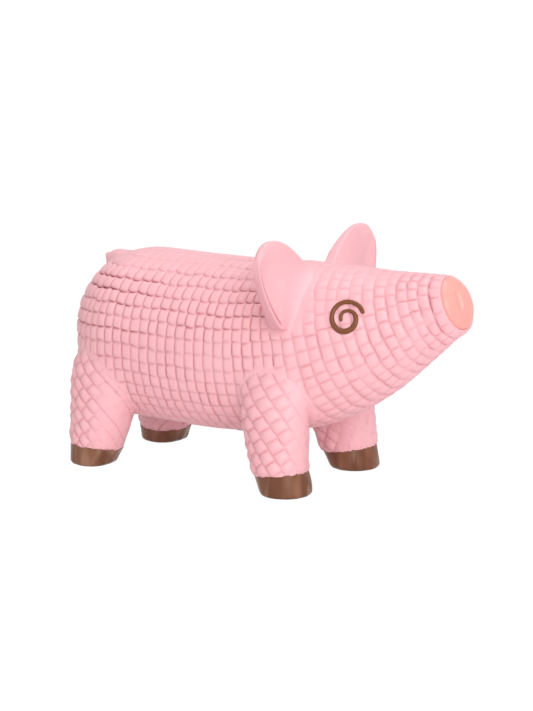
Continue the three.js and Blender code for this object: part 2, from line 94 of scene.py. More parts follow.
LEG_FILLET = (1.6, 5)  # reach of the soft valley round a leg, under the belly and on the flank
FILLET_HEIGHTS = (28, 46)  # heights between which that reach grows
TAIL_PATH = np.array([[-52.5, 88], [-58.5, 91.6], [-63, 90.8], [-66.3, 92.6]])  # x and z, root to tip
TAIL_RADII = (4.2, 3.5, 3, 1.2)
TAIL_FILLET = 6
PLUG_X = -5
PLUG_RADIUS = 14
EAR_PLACE = 3.21
EAR_ANGLE = 39.5  # root's middle above the horizontal
EAR_YAW = 5.7  # the crown's edge turned forwards, degrees
EAR_ROOT_RISE = 1.2
EAR_HALF_WIDTH = 17.6
EAR_HEIGHT = 28.9
EAR_OUTER_FULLNESS = 1.65  # how round the outline is on its outer side
EAR_CROWN_FULLNESS = 2.2  # and towards the crown
EAR_SWEEP = 2.3  # the tip's shift towards the crown
EAR_FRONT = (2.3, 1.7)  # thickness before the blade's middle, at the root and the tip
EAR_BACK = (6, 2.4)  # and behind it
EAR_TUCK = 5  # how far the outer edge draws in where it meets the head
EAR_SKIRT = (1.8, 3, 7)  # how far the root spreads over the head, at the edges, behind and before
TRUNK_ROWS = 17  # rows of pads from the belly's middle line to the spine
ROW_SPREAD = 0.22  # how much wider the rows get towards the belly and the spine
ROW_LEAN = 0.2  # slant of the short cuts on the back's shoulders, in pads
FLANK_PADS = 18  # pads in a row from the neck to the haunch
RUMP_PADS = (24, 16, 12, 8)  # and round the rump, in rows of less and less length
PAD_COLUMNS = 8  # mesh columns of a pad on the flank
PAD_LENGTH = 4.8
FLANK_SHARE = 0.6  # share of the route's own parameter that lies on the flank
GROOVE_EDGE = 0.32  # half width of a cut
GROOVE_REACH = 0.85  # where a pad's shoulder ends
PAD_CORNER = 0.95  # radius of a pad's corners
ROW_DEPTH = 0.5  # depth of the cuts between rows on the flank
ROLL_DEPTH = 0.9  # and on the shoulders of the back, where the rows bulge as rolls
CUT_DEPTH = 0.8
FAINT_CUT = 0.6  # depth of the short cuts there
PAD_CROWN = 0.25
ROLL_CROWN = 0.5
PAD_UNEVEN = 0.08  # spread of the pads' heights
PAD_TIP = 0.25  # most that a pad's one edge stands over the other by chance
SCALE_TIP = 0.3  # how far its lower and rump edges stand out, as a scale's do
ROW_WANDER = 0.1  # sideways wandering of a row's cut, in rows
ROW_SCALLOP = 0.08  # how far a roll's pads hang over the row below, in rows
GROOVE_WIDTH = 0.4  # way from a cut's middle to where it is a third as deep
GROOVE_STEEP = 1.6  # power that makes its walls steep
CUT_SPREAD = (0.55, 1.2)  # least and most share of its depth that a short cut has
LEG_CLEAR = (0, 0.9)  # distances from a leg between which the pads set in
EAR_CLEAR = (0.1, 1.3)  # from the spread of an ear's root
TAIL_CLEAR = (1.5, 4)  # from the tail
PLUG_CLEAR = (15, 18)  # and from the plug's middle
PLUG_SIDE = 40  # the belly lies below this height
SMOOTH_BACK = (86, 94)  # heights between which the pads fade on the back
SMOOTH_LOIN = (-5, 25)  # between these they fade less and less, towards the neck
BACK_FAINT = 0.8  # share of the pads' relief that is lost there
LOIN_KEPT = 0.55  # and the share of that loss which the neck's end is spared
NUDGE = 0.05  # step for finding a slope
MERGE = 0.02  # points of a sheet nearer than this are one
rng = np.random.default_rng(11)


def signed_power(value, power):
    return np.sign(value) * np.abs(value) ** power


def smooth_through(knots, places):
    """Centripetal spline through the knots, at places counted in knots."""
    ends = np.vstack([2 * knots[0] - knots[1], knots, 2 * knots[-1] - knots[-2]])
    first = np.clip(places.astype(int), 0, len(knots) - 2)
    share = (places - first)[..., None]
    p0, p1, p2, p3 = (ends[first + step] for step in range(4))
    gap0, gap1, gap2 = (
        np.sqrt(np.linalg.norm(b - a, axis=-1, keepdims=True))
        for a, b in ((p0, p1), (p1, p2), (p2, p3))
    )
    leave = gap1 * ((p1 - p0) / gap0 - (p2 - p0) / (gap0 + gap1)) + p2 - p1
    arrive = gap1 * ((p3 - p2) / gap2 - (p3 - p1) / (gap1 + gap2)) + p2 - p1
    cubic = 2 * p1 - 2 * p2 + leave + arrive
    square = 3 * p2 - 3 * p1 - 2 * leave - arrive
    return p1 + share * (leave + share * (square + share * cubic))


def skin_oval(place):
    """x, tilt, z, half width, rise and drop of the skin's oval at a place along the stations."""
    spine = smooth_through(STATIONS[:, :3], place)
    girth = smooth_through(STATIONS[:, 3:], place)
    return [*np.moveaxis(spine, -1, 0), *np.moveaxis(girth, -1, 0)]


def skin_point(place, angle, inset=0):
    """Points of the skin in front of the haunches, by angle from the toy's left side up over the back."""
    place, angle = np.broadcast_arrays(np.asarray(place, float), angle)
    x, tilt, z, half_width, rise, drop = skin_oval(place)
    tilt = np.radians(tilt)
    across = (half_width - inset) * signed_power(np.cos(angle), 2 / OVAL_FULLNESS)
    reach = np.where(np.sin(angle) > 0, rise, drop) - inset
    up = reach * signed_power(np.sin(angle), 2 / OVAL_FULLNESS)
    return np.stack([x - up * np.sin(tilt), across, z + up * np.cos(tilt)], -1)


def trunk_point(slope, along, inset=0):
    """Points of the trunk: slope from belly to spine, along from the right neck (0) to the left (2)."""
    slope, along = np.broadcast_arrays(slope, along)
    side = np.where(along < 1, -1.0, 1.0)
    route = np.minimum(along, 2 - along)
    flank = skin_point(NECK * np.clip(1 - route / FLANK_SHARE, 0, 1), math.pi - slope, inset)
    turn = np.clip((route - FLANK_SHARE) / (1 - FLANK_SHARE), 0, 1) * math.pi / 2
    x, _, z, half_width, rise, drop = STATIONS[0]
    across = signed_power(np.cos(slope), 2 / OVAL_FULLNESS) * np.cos(turn) ** (2 / OVAL_FULLNESS)
    up = signed_power(np.sin(slope), 2 / OVAL_FULLNESS)
    ring = (np.abs(across) ** OVAL_FULLNESS + np.abs(up) ** OVAL_FULLNESS) ** (1 / OVAL_FULLNESS)
    back = (RUMP_LENGTH - inset) * np.maximum(1 - ring**RUMP_FULLNESS, 0) ** (1 / RUMP_FULLNESS)
    height = np.where(up > 0, rise, drop) - inset
    rump = np.stack([x - back, -(half_width - inset) * across, z + height * up], -1)
    point = np.where((route > FLANK_SHARE)[..., None], rump, flank)
    point[..., 1] *= -side
    return point


def unit(vectors):
    """Vectors made one long."""
    return vectors / np.maximum(np.linalg.norm(vectors, axis=-1, keepdims=True), 1e-12)


def facing(surface, first, second, middle):
    """Unit normals of a surface of two parameters, pointing away from its middle line."""
    step = 1e-4
    across = surface(first + step, second) - surface(first - step, second)
    along = surface(first, second + step) - surface(first, second - step)
    normal = unit(np.cross(across, along))
    outwards = np.sum(normal * (surface(first, second) - middle), -1, keepdims=True)
    return normal * np.where(outwards < 0, -1.0, 1.0)


def leg_size(end, height):
    """Middle of a right leg at a height, its radii along and across the toy, and its shoulder's share."""
    share = np.clip(height, 0, LEG_HEIGHT) / LEG_HEIGHT
    x = end["x"] + end["lean"] * share
    y = LEG_TUCK * share - end["spread"] / 2
    shoulder = np.maximum(height - LEG_HEIGHT + LEG_SHOULDER, 0) / LEG_SHOULDER
    return x, y, FOOT_RADIUS + LEG_FLARE[0] * share, FOOT_RADIUS + LEG_FLARE[1] * share, shoulder


def leg_distance(points):
    """How far points lie outside the nearest leg, about."""
    found = []
    for end in (FRONT, REAR):
        x, y, along, across, shoulder = leg_size(end, points[..., 2])
        over_x = points[..., 0] - x
        over_y = -np.abs(points[..., 1]) - y
        ring = np.sqrt((over_x / along) ** 2 + (over_y / across) ** 2 + shoulder**2)
        size = np.sqrt(over_x**2 + over_y**2 + (LEG_SHOULDER * shoulder) ** 2)
        found.append(size * (1 - 1 / np.maximum(ring, 1e-6)))
    return np.minimum(*found)


# The ear's root: its middle, and the directions towards the crown, out of the head and forwards.
ear_angle = math.pi - math.radians(EAR_ANGLE)
ear_crown = unit(skin_point(EAR_PLACE, ear_angle - 0.05) - skin_point(EAR_PLACE, ear_angle + 0.05))
ear_tilt = math.radians(skin_oval(np.array(EAR_PLACE))[1])
ear_forward = np.array([math.cos(ear_tilt), 0, math.sin(ear_tilt)])
ear_outward = np.cross(ear_forward, ear_crown)
ear_yaw = math.radians(EAR_YAW)
ear_crown = ear_crown * math.cos(ear_yaw) + ear_forward * math.sin(ear_yaw)
ear_forward = np.cross(ear_crown, ear_outward)
ear_root = skin_point(EAR_PLACE, ear_angle) + EAR_ROOT_RISE * ear_outward


def ear_half_width(share, outer):
    """Half width of an ear at a share of its height, on its outer side or towards the crown."""
    power = np.where(outer, EAR_OUTER_FULLNESS, EAR_CROWN_FULLNESS)
    tuck = EAR_TUCK * outer * fade(0.1 - share, 0, 0.35)
    return EAR_HALF_WIDTH * (1 - np.clip(share, 0, 1) ** power) ** (1 / power) - tuck


def crown_share(across):
    """How wide the soft foot of an ear's front is: wide towards the crown, narrow at the outer side."""
    return 0.5 + 0.5 * fade(across, -0.1, 0.7)


def ear_reach(across, front):
    """How far an ear's root spreads over the head, by place across it and share of its front."""
    edge, behind, before = EAR_SKIRT
    middle = 1 - np.clip(across, -1, 1) ** 2
    ahead = before * crown_share(across)
    return edge + (behind + (ahead - behind) * front - edge) * middle


def past_ear(points):
    """How far points of the skin lie past the spread of the nearer ear's root, about."""
    nearer = np.where(points[..., 1:2] < 0, points, points * [1, -1, 1]) - ear_root
    share = nearer @ ear_outward / EAR_HEIGHT
    aside = nearer @ ear_crown - EAR_SWEEP * share
    ahead = nearer @ ear_forward
    over_x = np.abs(aside) - ear_half_width(share, aside < 0)
    over_z = np.where(ahead > 0, ahead - EAR_FRONT[0], -ahead - EAR_BACK[0])
    outside = np.hypot(np.maximum(over_x, 0), np.maximum(over_z, 0))
    inside = np.minimum(np.maximum(over_x, over_z), 0)
    return outside + inside - ear_reach(aside / EAR_HALF_WIDTH, fade(ahead, -2, 2))


def tail_line(count):
    """Middle points and radii along the tail."""
    places = np.linspace(0, len(TAIL_PATH) - 1, count)
    path = smooth_through(TAIL_PATH, places)
    middles = np.stack([path[:, 0], np.zeros(count), path[:, 1]], -1)
    return middles, np.interp(places, np.arange(len(TAIL_RADII)), TAIL_RADII)


def tail_distance(points):
    """How far points lie outside the tail."""
    middles, radii = tail_line(25)
    away = np.linalg.norm(points[..., None, :] - middles, axis=-1) - radii
    return away.min(axis=-1)


def uphill(distance, points):
    """Unit directions in which a distance grows fastest."""
    steps = np.eye(3) * NUDGE
    return unit(np.stack([distance(points + step) - distance(points - step) for step in steps], -1))


def soft_valley(points, normals, other, reach, sink=0):
    """How far to lift a surface along its normals so that it runs softly into another one.

    Past the valley's middle the surface may sink a little, to lie under the other one."""
    level = np.clip(np.sum(uphill(other, points) * normals, -1), 0, 1)
    reach = reach * np.maximum(np.sqrt(1 - level**2), 0.06)  # surfaces that graze need a shallower valley
    lift = np.zeros(points.shape[:-1])
    for _ in range(12):
        gap = other(points + normals * lift[..., None])
        mix = np.clip(0.5 + 0.5 * (gap - lift) / reach, 0, 1)
        joined = gap + (lift - gap) * mix - reach * mix * (1 - mix)
        lift = np.clip(lift - joined, 0, reach / 2.6)
    past_middle = np.clip((lift - reach / 4) / (reach / 10), 0, 1)
    return lift - sink * past_middle


def leg_fillet(points):
    """Reach of the soft valley round a leg at points of it."""
    return LEG_FILLET[0] + (LEG_FILLET[1] - LEG_FILLET[0]) * fade(points[..., 2], *FILLET_HEIGHTS)


def beside_members(points, normals):
    """The soft valley round the legs, and the share of the pads' relief that legs and ears leave."""
    valley = soft_valley(points, normals, leg_distance, leg_fillet(points))
    return valley, fade(leg_distance(points), *LEG_CLEAR) * fade(past_ear(points), *EAR_CLEAR)


def fade(value, low, high):
    """Rises softly from 0 at a low value to 1 at a high one."""
    share = np.clip((value - low) / (high - low), 0, 1)
    return share * share * (3 - 2 * share)


def wander(shares, knots):
    """A seeded smooth wandering between -1 and 1 along shares of a length."""
    heights = rng.uniform(-1, 1, knots + 2)
    first = np.clip((shares * knots).astype(int), 0, knots)
    mix = fade(shares * knots - first, 0, 1)
    return heights[first] * (1 - mix) + heights[first + 1] * mix


def pad_lines(count, pad):
    """Shares of a pad where mesh lines lie: the cut's bottom, its edges, and the pad between shoulders."""
    edge = GROOVE_EDGE / pad
    shoulder = GROOVE_REACH / pad
    return np.array([0, edge, *np.linspace(shoulder, 1 - shoulder, count - 3), 1 - edge])


def groove(way):
    return np.exp(-((way / GROOVE_WIDTH) ** GROOVE_STEEP))


def cut_row(stretches, uneven):
    """One row of pads, from stretches given as pads, mesh columns and length: each mesh column's stretch and
    share of it, cut depth, way to the cut, and pad's own shape."""
    total = sum(pads for pads, _, _ in stretches)
    deep = rng.uniform(*CUT_SPREAD, total)
    heights = rng.normal(0, PAD_UNEVEN, total)
    tips = rng.uniform(-PAD_TIP, PAD_TIP, total)
    if uneven == 0:  # the halves of a row on the toy's middle line match
        deep = (deep + np.roll(deep[::-1], 1)) / 2
        heights *= 0
        tips *= 0
    shares, parts, ways, pad_numbers = [], [], [], []
    for number, (pads, columns, length) in enumerate(stretches):
        lines = pad_lines(columns // pads, length / pads)
        cuts = np.arange(pads + 1) + np.r_[0, rng.uniform(-uneven, uneven, pads - 1), 0]
        shares.append(number + (cuts[:-1, None] + lines * np.diff(cuts)[:, None]).ravel() / pads)
        parts.append(np.tile(lines, pads))
        ways.append(np.minimum(parts[-1], 1 - parts[-1]) * length / pads)
        pads_before = sum(stretch[0] for stretch in stretches[:number])
        pad_numbers.append(np.repeat(pads_before + np.arange(pads), len(lines)))
    part = np.concatenate(parts)
    pad = np.concatenate(pad_numbers)
    first_half = np.arange(len(part)) < len(part) / 2
    return {
        "share": np.r_[np.concatenate(shares), len(stretches)],
        "way": np.r_[np.concatenate(ways), 0],
        "deep": np.r_[np.where(part < 0.5, deep[pad], deep[(pad + 1) % total]), deep[0]],
        "round": np.r_[1 - (2 * part - 1) ** 2, 0],
        "rumpward": np.r_[np.where(first_half, part, 1 - part), 1],
        "height": np.r_[heights[pad], 0],
        "tip": np.r_[tips[pad], 0],
    }


def carve(row, line, width, row_depth, cut_depth, crown=PAD_CROWN, scale_tip=0):
    """A mesh row's height over the plain skin, and how deep it is cut, at a share of its pads' width."""
    across = min(line, 1 - line) * width
    along = row["way"]
    corner = PAD_CORNER - np.hypot(np.maximum(PAD_CORNER - across, 0), np.maximum(PAD_CORNER - along, 0))
    hollow = groove(np.maximum(np.minimum(np.minimum(across, along), corner), 0))
    by_row = along / (across + along + 1e-6)  # 1 where the row's cut is the nearer one
    cut = (row_depth * by_row + cut_depth * row["deep"] * (1 - by_row)) * hollow
    roll = crown * (1 - (2 * line - 1) ** 2) * (0.7 + 0.3 * row["round"])
    pad = roll + row["height"] + row["tip"] * (line - 0.5) + scale_tip * (row["rumpward"] - line)
    return pad * (1 - hollow) - cut, cut


def named(name):
    """The object just made, with its mesh named alike."""
    made = bpy.context.object
    made.name = name
    made.data.name = name
    return made


def close_mesh(merge=0):
    """Merges points of the active mesh that lie nearer than a length, and turns its faces outwards."""
    bpy.ops.object.mode_set(mode="EDIT")
    bpy.ops.mesh.select_all(action="SELECT")
    if merge:
        bpy.ops.mesh.remove_doubles(threshold=merge * MM)
    bpy.ops.mesh.normals_make_consistent(inside=False)
    bpy.ops.object.mode_set(mode="OBJECT")


def smoothed(piece, degrees):
    """The active piece, shaded smooth over edges up to an angle and let go."""
    bpy.ops.object.shade_smooth_by_angle(angle=math.radians(degrees))
    piece.select_set(False)
    return piece


def wrapped_sheet(name, points, painted_shade=None):
    """A primitive grid wrapped into rows and columns of points, with its seams and poles merged."""
    rows, columns = points.shape[:2]
    bpy.ops.mesh.primitive_grid_add(x_subdivisions=columns - 1, y_subdivisions=rows - 1, size=1)
    made = named(name)
    made.data.vertices.foreach_set("co", ((points + SHIFT) * MM).astype(np.float32).ravel())
    # Painted shade: the groove attribute holds how much redder, darker pink is painted into cuts and creases.
    if painted_shade is not None:
        made.data.attributes.new("groove", "FLOAT", "POINT")
        made.data.attributes["groove"].data.foreach_set("value", painted_shade.astype(np.float32).ravel())
    close_mesh(MERGE)
    return smoothed(made, 75)


def row_slope(row):
    """Slope of the trunk at a row counted from the belly's middle line."""
    level = 2 * row / TRUNK_ROWS - 1
    return math.pi / 2 * ((1 - ROW_SPREAD) * level + ROW_SPREAD * level**3)


def trunk_rows():
    """Each mesh row of the trunk: its row of pads and its share of that row's width."""
    for band in range(TRUNK_ROWS + 1):
        for line in pad_lines(8, row_widths[band]):
            if -1e-6 < band - 0.5 + line < TRUNK_ROWS + 1e-6:
                yield band, line


def measured(slope, along):
    """Lengths along a row of the trunk up to each of the places given."""
    steps = np.linalg.norm(np.diff(trunk_point(slope, along), axis=0), axis=-1)
    return np.r_[0, np.cumsum(steps)]


on_flank = np.linspace(0, FLANK_SHARE, 81)
on_rump = np.linspace(FLANK_SHARE, 1, 81)
flank_way = measured(0, on_flank)
rump_columns = RUMP_PADS[0] * PAD_COLUMNS
TRUNK_COLUMNS = 2 * FLANK_PADS * PAD_COLUMNS + rump_columns
bands = []
row_widths = []
rolled = fade(np.arange(TRUNK_ROWS + 2), 0.5 * TRUNK_ROWS, 0.75 * TRUNK_ROWS)  # share of a row's roll
for band in range(TRUNK_ROWS + 1):
    sides = trunk_point(row_slope(band + np.array([-0.25, 0.25])), 0.3)
    row_widths.append(2 * np.linalg.norm(sides[1] - sides[0]))
    rump_way = measured(row_slope(band), on_rump)
    round_rump = max(2 * rump_way[-1], 24)
    pads = min(RUMP_PADS, key=lambda count: abs(round_rump / count - PAD_LENGTH))
    flank = (FLANK_PADS, FLANK_PADS * PAD_COLUMNS, flank_way[-1])
    middle_row = band in (0, TRUNK_ROWS)
    row = cut_row([flank, (pads, rump_columns, round_rump), flank], 0 if middle_row else 0.07)
    row["rump_way"] = rump_way / rump_way[-1] if rump_way[-1] > 1 else np.linspace(0, 1, len(on_rump))
    past_ends = fade(row["share"], 0, 0.15) * fade(3 - row["share"], 0, 0.15)
    toy_side = np.clip((row["share"] - 1.5) / 0.15, -1, 1)
    row["lean"] = ROW_LEAN / FLANK_PADS * rolled[band] * past_ends * toy_side
    bands.append(row)


def trunk_along(row, line):
    """Where the mesh columns of a row of pads lie along the route, at a share of its width."""
    share = row["share"] + row["lean"] * (line - 0.5)
    half = np.minimum(share, 3 - share)
    flank = np.interp(half, flank_way / flank_way[-1], on_flank)
    rump = np.interp(2 * (half - 1), row["rump_way"], on_rump)
    route = np.where(half < 1, flank, rump)
    return np.where(share < 1.5, route, 2 - route)


rows = list(trunk_rows())
shares = np.linspace(0, 1, TRUNK_COLUMNS + 1)
edges = [ROW_WANDER * wander(shares, 64) * (1 < band < TRUNK_ROWS) for band in range(TRUNK_ROWS + 2)]
for band in range(2, TRUNK_ROWS):
    edges[band] -= ROW_SCALLOP * rolled[band] * (bands[band]["round"] - 0.5)
depths = [
    (ROW_DEPTH + (ROLL_DEPTH - ROW_DEPTH) * roll) * (0.8 + 0.4 * wander(shares, 24)) for roll in rolled
]
for band in range(2, TRUNK_ROWS):
    past_flank = fade(np.minimum(bands[band]["share"], 3 - bands[band]["share"]), 0.7, 1.1)
    depths[band] *= (0.55 + 0.75 * bands[band]["rumpward"]) * (1 + 0.6 * past_flank)
along = np.zeros((len(rows), TRUNK_COLUMNS + 1))
slopes = np.zeros_like(along)
shape = np.zeros_like(along)
cuts = np.zeros_like(along)
for index, (band, line) in enumerate(rows):
    row = bands[band]
    along[index] = trunk_along(row, line)
    if line == 0:
        along[index] = (along[index] + trunk_along(bands[band - 1], 1)) / 2
    wandered = edges[band] * (1 - line) + edges[band + 1] * line
    slopes[index] = row_slope(band - 0.5 + line + wandered)
    depth = depths[band] if line < 0.5 else depths[band + 1]
    if band in (0, TRUNK_ROWS):  # the halves meet on the toy's middle line
        depth = depth * abs(2 * line - 1)
    cut_depth = CUT_DEPTH + (FAINT_CUT - CUT_DEPTH) * rolled[band]
    crown = PAD_CROWN + (ROLL_CROWN - PAD_CROWN) * rolled[band]
    scale_tip = SCALE_TIP * (0 < band < TRUNK_ROWS)
    shape[index], cuts[index] = carve(row, line, row_widths[band], depth, cut_depth, crown, scale_tip)
trunk_points = trunk_point(slopes, along)
spine_line = trunk_points * [1, 0, 0] + [0, 0, STATIONS[0, 2]]
trunk_normals = facing(trunk_point, slopes, along, spine_line)
valley, padded = beside_members(trunk_points, trunk_normals)
valley += soft_valley(trunk_points, trunk_normals, tail_distance, TAIL_FILLET)
padded *= fade(tail_distance(trunk_points), *TAIL_CLEAR)
x, y, z = np.moveaxis(trunk_points, -1, 0)
padded *= fade(np.hypot(x - PLUG_X, y) + np.maximum(z - PLUG_SIDE, 0), *PLUG_CLEAR)
loin = 1 - LOIN_KEPT * fade(x, *SMOOTH_LOIN)
padded *= 1 - BACK_FAINT * loin * fade(z, *SMOOTH_BACK)
outer = trunk_points + trunk_normals * (valley + padded * shape)[..., None]
lining = np.linspace(2, 0, 49)
straight = np.array([row_slope(band - 0.5 + line) for band, line in rows])
inner = trunk_point(straight[:, None], lining[None, :], WALL)
sheet = np.concatenate([outer, inner, outer[:, :1]], axis=1)
# Painted shade: a redder, darker pink laid into the trunk's cuts, as deep as they are cut.
cut_shade = np.zeros(sheet.shape[:2])
cut_shade[:, : TRUNK_COLUMNS + 1] = padded * cuts / ROW_DEPTH
trunk_skin = wrapped_sheet("trunk_skin_carved", sheet, cut_shade)


def linear(code):
    """A hex sRGB colour as linear RGBA."""
    parts = [int(code[i : i + 2], 16) / 255 for i in (1, 3, 5)]
    return (*[p / 12.92 if p <= 0.04045 else ((p + 0.055) / 1.055) ** 2.4 for p in parts], 1)


def add_node(tree, kind, settings=(), **inputs):
    """Adds a shader node with its settings, and links or sets its inputs by name, or by number as i0, i1."""
    made = tree.nodes.new(kind)
    for name, value in dict(settings).items():
        setattr(made, name, value)
    for name, value in inputs.items():
        numbered = name[0] == "i" and name[1:].isdigit()
        socket = made.inputs[int(name[1:]) if numbered else name.replace("_", " ")]
        if isinstance(value, bpy.types.NodeSocket):
            tree.links.new(value, socket)
        else:
            socket.default_value = value
    return made


def new_material(name):
    """A material with only its output and a Principled shader left to set."""
    made = bpy.data.materials.new(name)
    made.use_nodes = True
    return made, made.node_tree, made.node_tree.nodes["Principled BSDF"]


def clouded(name, size, detail, colours, bump=None, stretch=1, **surface):
    """A material whose pigment clouds between two colours over a size in mm, less often along z by a share.

    The clouds bump it by a strength and a depth in mm, and the surface's values go to the shader."""
    made, tree, shader = new_material(name)
    spot = add_node(tree, "ShaderNodeTexCoord").outputs["Object"]
    place = add_node(tree, "ShaderNodeMapping", {"name": "place"}, Vector=spot, Scale=(1, 1, stretch))
    scale = 1 / (size * MM)
    cloud = add_node(
        tree, "ShaderNodeTexNoise", {"name": "cloud"}, Vector=place.outputs[0], Scale=scale, Detail=detail
    )
    dark, light = (linear(code) for code in colours)
    mixed = {"name": "pigment", "data_type": "RGBA"}
    pigment = add_node(tree, "ShaderNodeMix", mixed, i0=cloud.outputs["Fac"], i6=dark, i7=light)
    tree.links.new(pigment.outputs[2], shader.inputs["Base Color"])
    if bump:
        strength, depth = bump
        height = cloud.outputs["Fac"]
        relief = add_node(
            tree, "ShaderNodeBump", {"name": "bump"}, Height=height, Strength=strength, Distance=depth * MM
        )
        tree.links.new(relief.outputs["Normal"], shader.inputs["Normal"])
    for value_name, value in surface.items():
        shader.inputs[value_name.replace("_", " ")].default_value = value
    return made


# Pink latex: vulcanised rubber, soft satin, with faint clouding of the pigment and a fine unevenness from
# the mould. The cuts, the ears' creases and their outer walls are given painted shade, a warmer, redder pink.
pink_latex = clouded(
    "pink_latex_moulded", 14, 3.0, ("#f0b0b7", "#f5bcc2"), (0.12, 0.15),
    Roughness=0.5, Specular_IOR_Level=0.45, IOR=1.52,
)
tree = pink_latex.node_tree
# Painted shade: the groove attribute mixes a redder, darker pink into the cuts, the ear's crease and its
# outer wall.
cut = add_node(tree, "ShaderNodeAttribute", {"attribute_name": "groove"})
cut_shade_share = add_node(tree, "ShaderNodeMath", {"operation": "MULTIPLY"}, i0=cut.outputs["Fac"], i1=0.42)
pigment = tree.nodes["pigment"].outputs[2]
in_cut_shade = cut_shade_share.outputs[0]
cut_shade_pink = linear("#c9808a")
shade_tint = add_node(tree, "ShaderNodeMix", {"data_type": "RGBA"}, i0=in_cut_shade, i6=pigment, i7=cut_shade_pink)
tree.links.new(shade_tint.outputs[2], tree.nodes["Principled BSDF"].inputs["Base Color"])
place = tree.nodes["place"].outputs[0]
grain = add_node(tree, "ShaderNodeTexNoise", Vector=place, Scale=1 / (1.6 * MM), Detail=2.0)
tree.links.new(grain.outputs["Fac"], tree.nodes["bump"].inputs["Height"])
trunk_skin.data.materials.append(pink_latex)
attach(trunk_skin, "toy")
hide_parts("trunk_skin")

# Head skin: the tapering latex snout from the neck to the muzzle's rim, hollow like the trunk. Its cuts run
# round it in rings, with short cuts between that don't line up, and a pocket in front seats the nose pad.
HEAD_RINGS = 14
HEAD_COLUMNS = 240
PAD_CHOICES = (40, 30, 24, 20, 16, 15, 12)  # pads in a ring, from the neck to the muzzle
RING_PAD = 5.6
RING_WIDTH = 5
RING_DEPTH = 0.62
RING_CROWN = 0.32
RING_CUT = 0.52  # depth of the short cuts
RING_WANDER = 0.08
LAST_CUT = 1.7  # the cut behind the last ring is this much deeper
NECK_SUNK = 0.9  # the first ring's edge lies this far under the skin
TOP_FAINT = 0.45  # share of the pads' relief that is lost along the head's top
BROW_FAINT = 0.4  # on the brow
RIM_FAINT = 0.6  # and at the muzzle's rim
NECK_LAP = 0.04  # how far the head's first ring tucks under the trunk's edge, in stations
MUZZLE_LIP = 0.5
MUZZLE_SWELL = 0.5  # the last ring's swelling round the nose
MUZZLE_WALL = 4
SNOUT_STATION = 20  # length of a station there, about
NOSE_POCKET = 1.2
NOSE_RADIUS = 11.5
muzzle_tilt = math.radians(STATIONS[MUZZLE, 1])
muzzle_normal = np.array([math.cos(muzzle_tilt), 0, math.sin(muzzle_tilt)])
muzzle_up = np.array([-math.sin(muzzle_tilt), 0, math.cos(muzzle_tilt)])
muzzle_middle = np.array([STATIONS[MUZZLE, 0], 0, STATIONS[MUZZLE, 2]])
ring_step = (MUZZLE - NECK) / HEAD_RINGS
rings = []
for ring in range(HEAD_RINGS):
    middle = NECK + (ring + 0.5) * ring_step
    around = skin_point(middle, np.linspace(0, 2 * math.pi, 121))
    length = np.linalg.norm(np.diff(around, axis=0), axis=-1).sum()
    pads = min(PAD_CHOICES, key=lambda count: abs(length / count - RING_PAD))
    jog = rng.uniform(-0.3, 0.3) / pads
    row = cut_row([(pads, HEAD_COLUMNS, length)], 0.1)
    row["share"] = row["share"] + jog
    rings.append(row)

turn_shares = np.linspace(0, 1, HEAD_COLUMNS + 1)
edges = [RING_WANDER * wander(turn_shares, 30) for ring in range(HEAD_RINGS + 1)]
edges[0] *= 0
edges[-1] *= 0
ring_depths = [RING_DEPTH * (0.8 + 0.5 * wander(turn_shares, 24)) for ring in range(HEAD_RINGS + 1)]
ring_depths[-2] *= LAST_CUT
for closed in edges + ring_depths:
    closed[-1] = closed[0]
places = [np.full(HEAD_COLUMNS + 1, NECK - NECK_LAP)]
angles = [rings[0]["share"] * 2 * math.pi]
shape = [np.full(HEAD_COLUMNS + 1, -NECK_SUNK)]
cuts = [np.full(HEAD_COLUMNS + 1, RING_DEPTH)]
for ring, row in enumerate(rings):
    for line in pad_lines(6, RING_WIDTH):
        here = row["share"]
        if line == 0 and ring > 0:
            here = (here + rings[ring - 1]["share"]) / 2
        wandered = edges[ring] * (1 - line) + edges[ring + 1] * line
        places.append(NECK + (ring + line + wandered) * ring_step)
        angles.append(here * 2 * math.pi)
        depth = ring_depths[ring] if line < 0.5 else ring_depths[ring + 1]
        cut_line = min(line, 0.5) if ring == HEAD_RINGS - 1 else line  # the last ring runs into the rim
        height, cut = carve(row, cut_line, RING_WIDTH, depth, RING_CUT, RING_CROWN)
        shape.append(height)
        cuts.append(cut)
places.append(np.full(HEAD_COLUMNS + 1, MUZZLE))
angles.append(rings[-1]["share"] * 2 * math.pi)
rim, rim_cut = carve(rings[-1], 0.5, RING_WIDTH, RING_DEPTH, RING_CUT, RING_CROWN)
shape.append(rim)
cuts.append(rim_cut)
places = np.array(places)
angles = np.array(angles)
head_points = skin_point(places, angles)
axis_line = smooth_through(STATIONS[:, :3], places)
axis_line = np.stack([axis_line[..., 0], np.zeros_like(places), axis_line[..., 2]], -1)
head_normals = facing(skin_point, places, angles, axis_line)
valley, padded = beside_members(head_points, head_normals)
upper = np.sin(angles)
padded *= 1 - TOP_FAINT * fade(upper, 0.66, 0.95) * fade(MUZZLE - places, 0.5, 1.2)
padded *= 1 - BROW_FAINT * fade(upper, 0, 0.5) * fade(5.2 - places, 0, 0.8)
padded *= 1 - RIM_FAINT * fade(places, MUZZLE - 0.12, MUZZLE)
swell = MUZZLE_SWELL * (1 - fade(upper, 0.2, 0.8))
relief = valley + padded * np.array(shape) + swell * fade(places, MUZZLE - 0.4, MUZZLE - 0.1)
relief[0] = np.minimum(relief[0], valley[0] - 0.35)
outer = head_points + head_normals * relief[..., None]
turns = angles[-1]
lip = []
for bend in np.linspace(0, math.pi / 2, 7)[1:]:
    ring = skin_point(MUZZLE, turns, MUZZLE_LIP * (1 - math.cos(bend)))
    ring = ring + muzzle_normal * MUZZLE_LIP * math.sin(bend)
    lip.append(ring + head_normals[-1] * (relief[-1] * max(math.cos(bend), 0.3))[:, None])
pocket = []
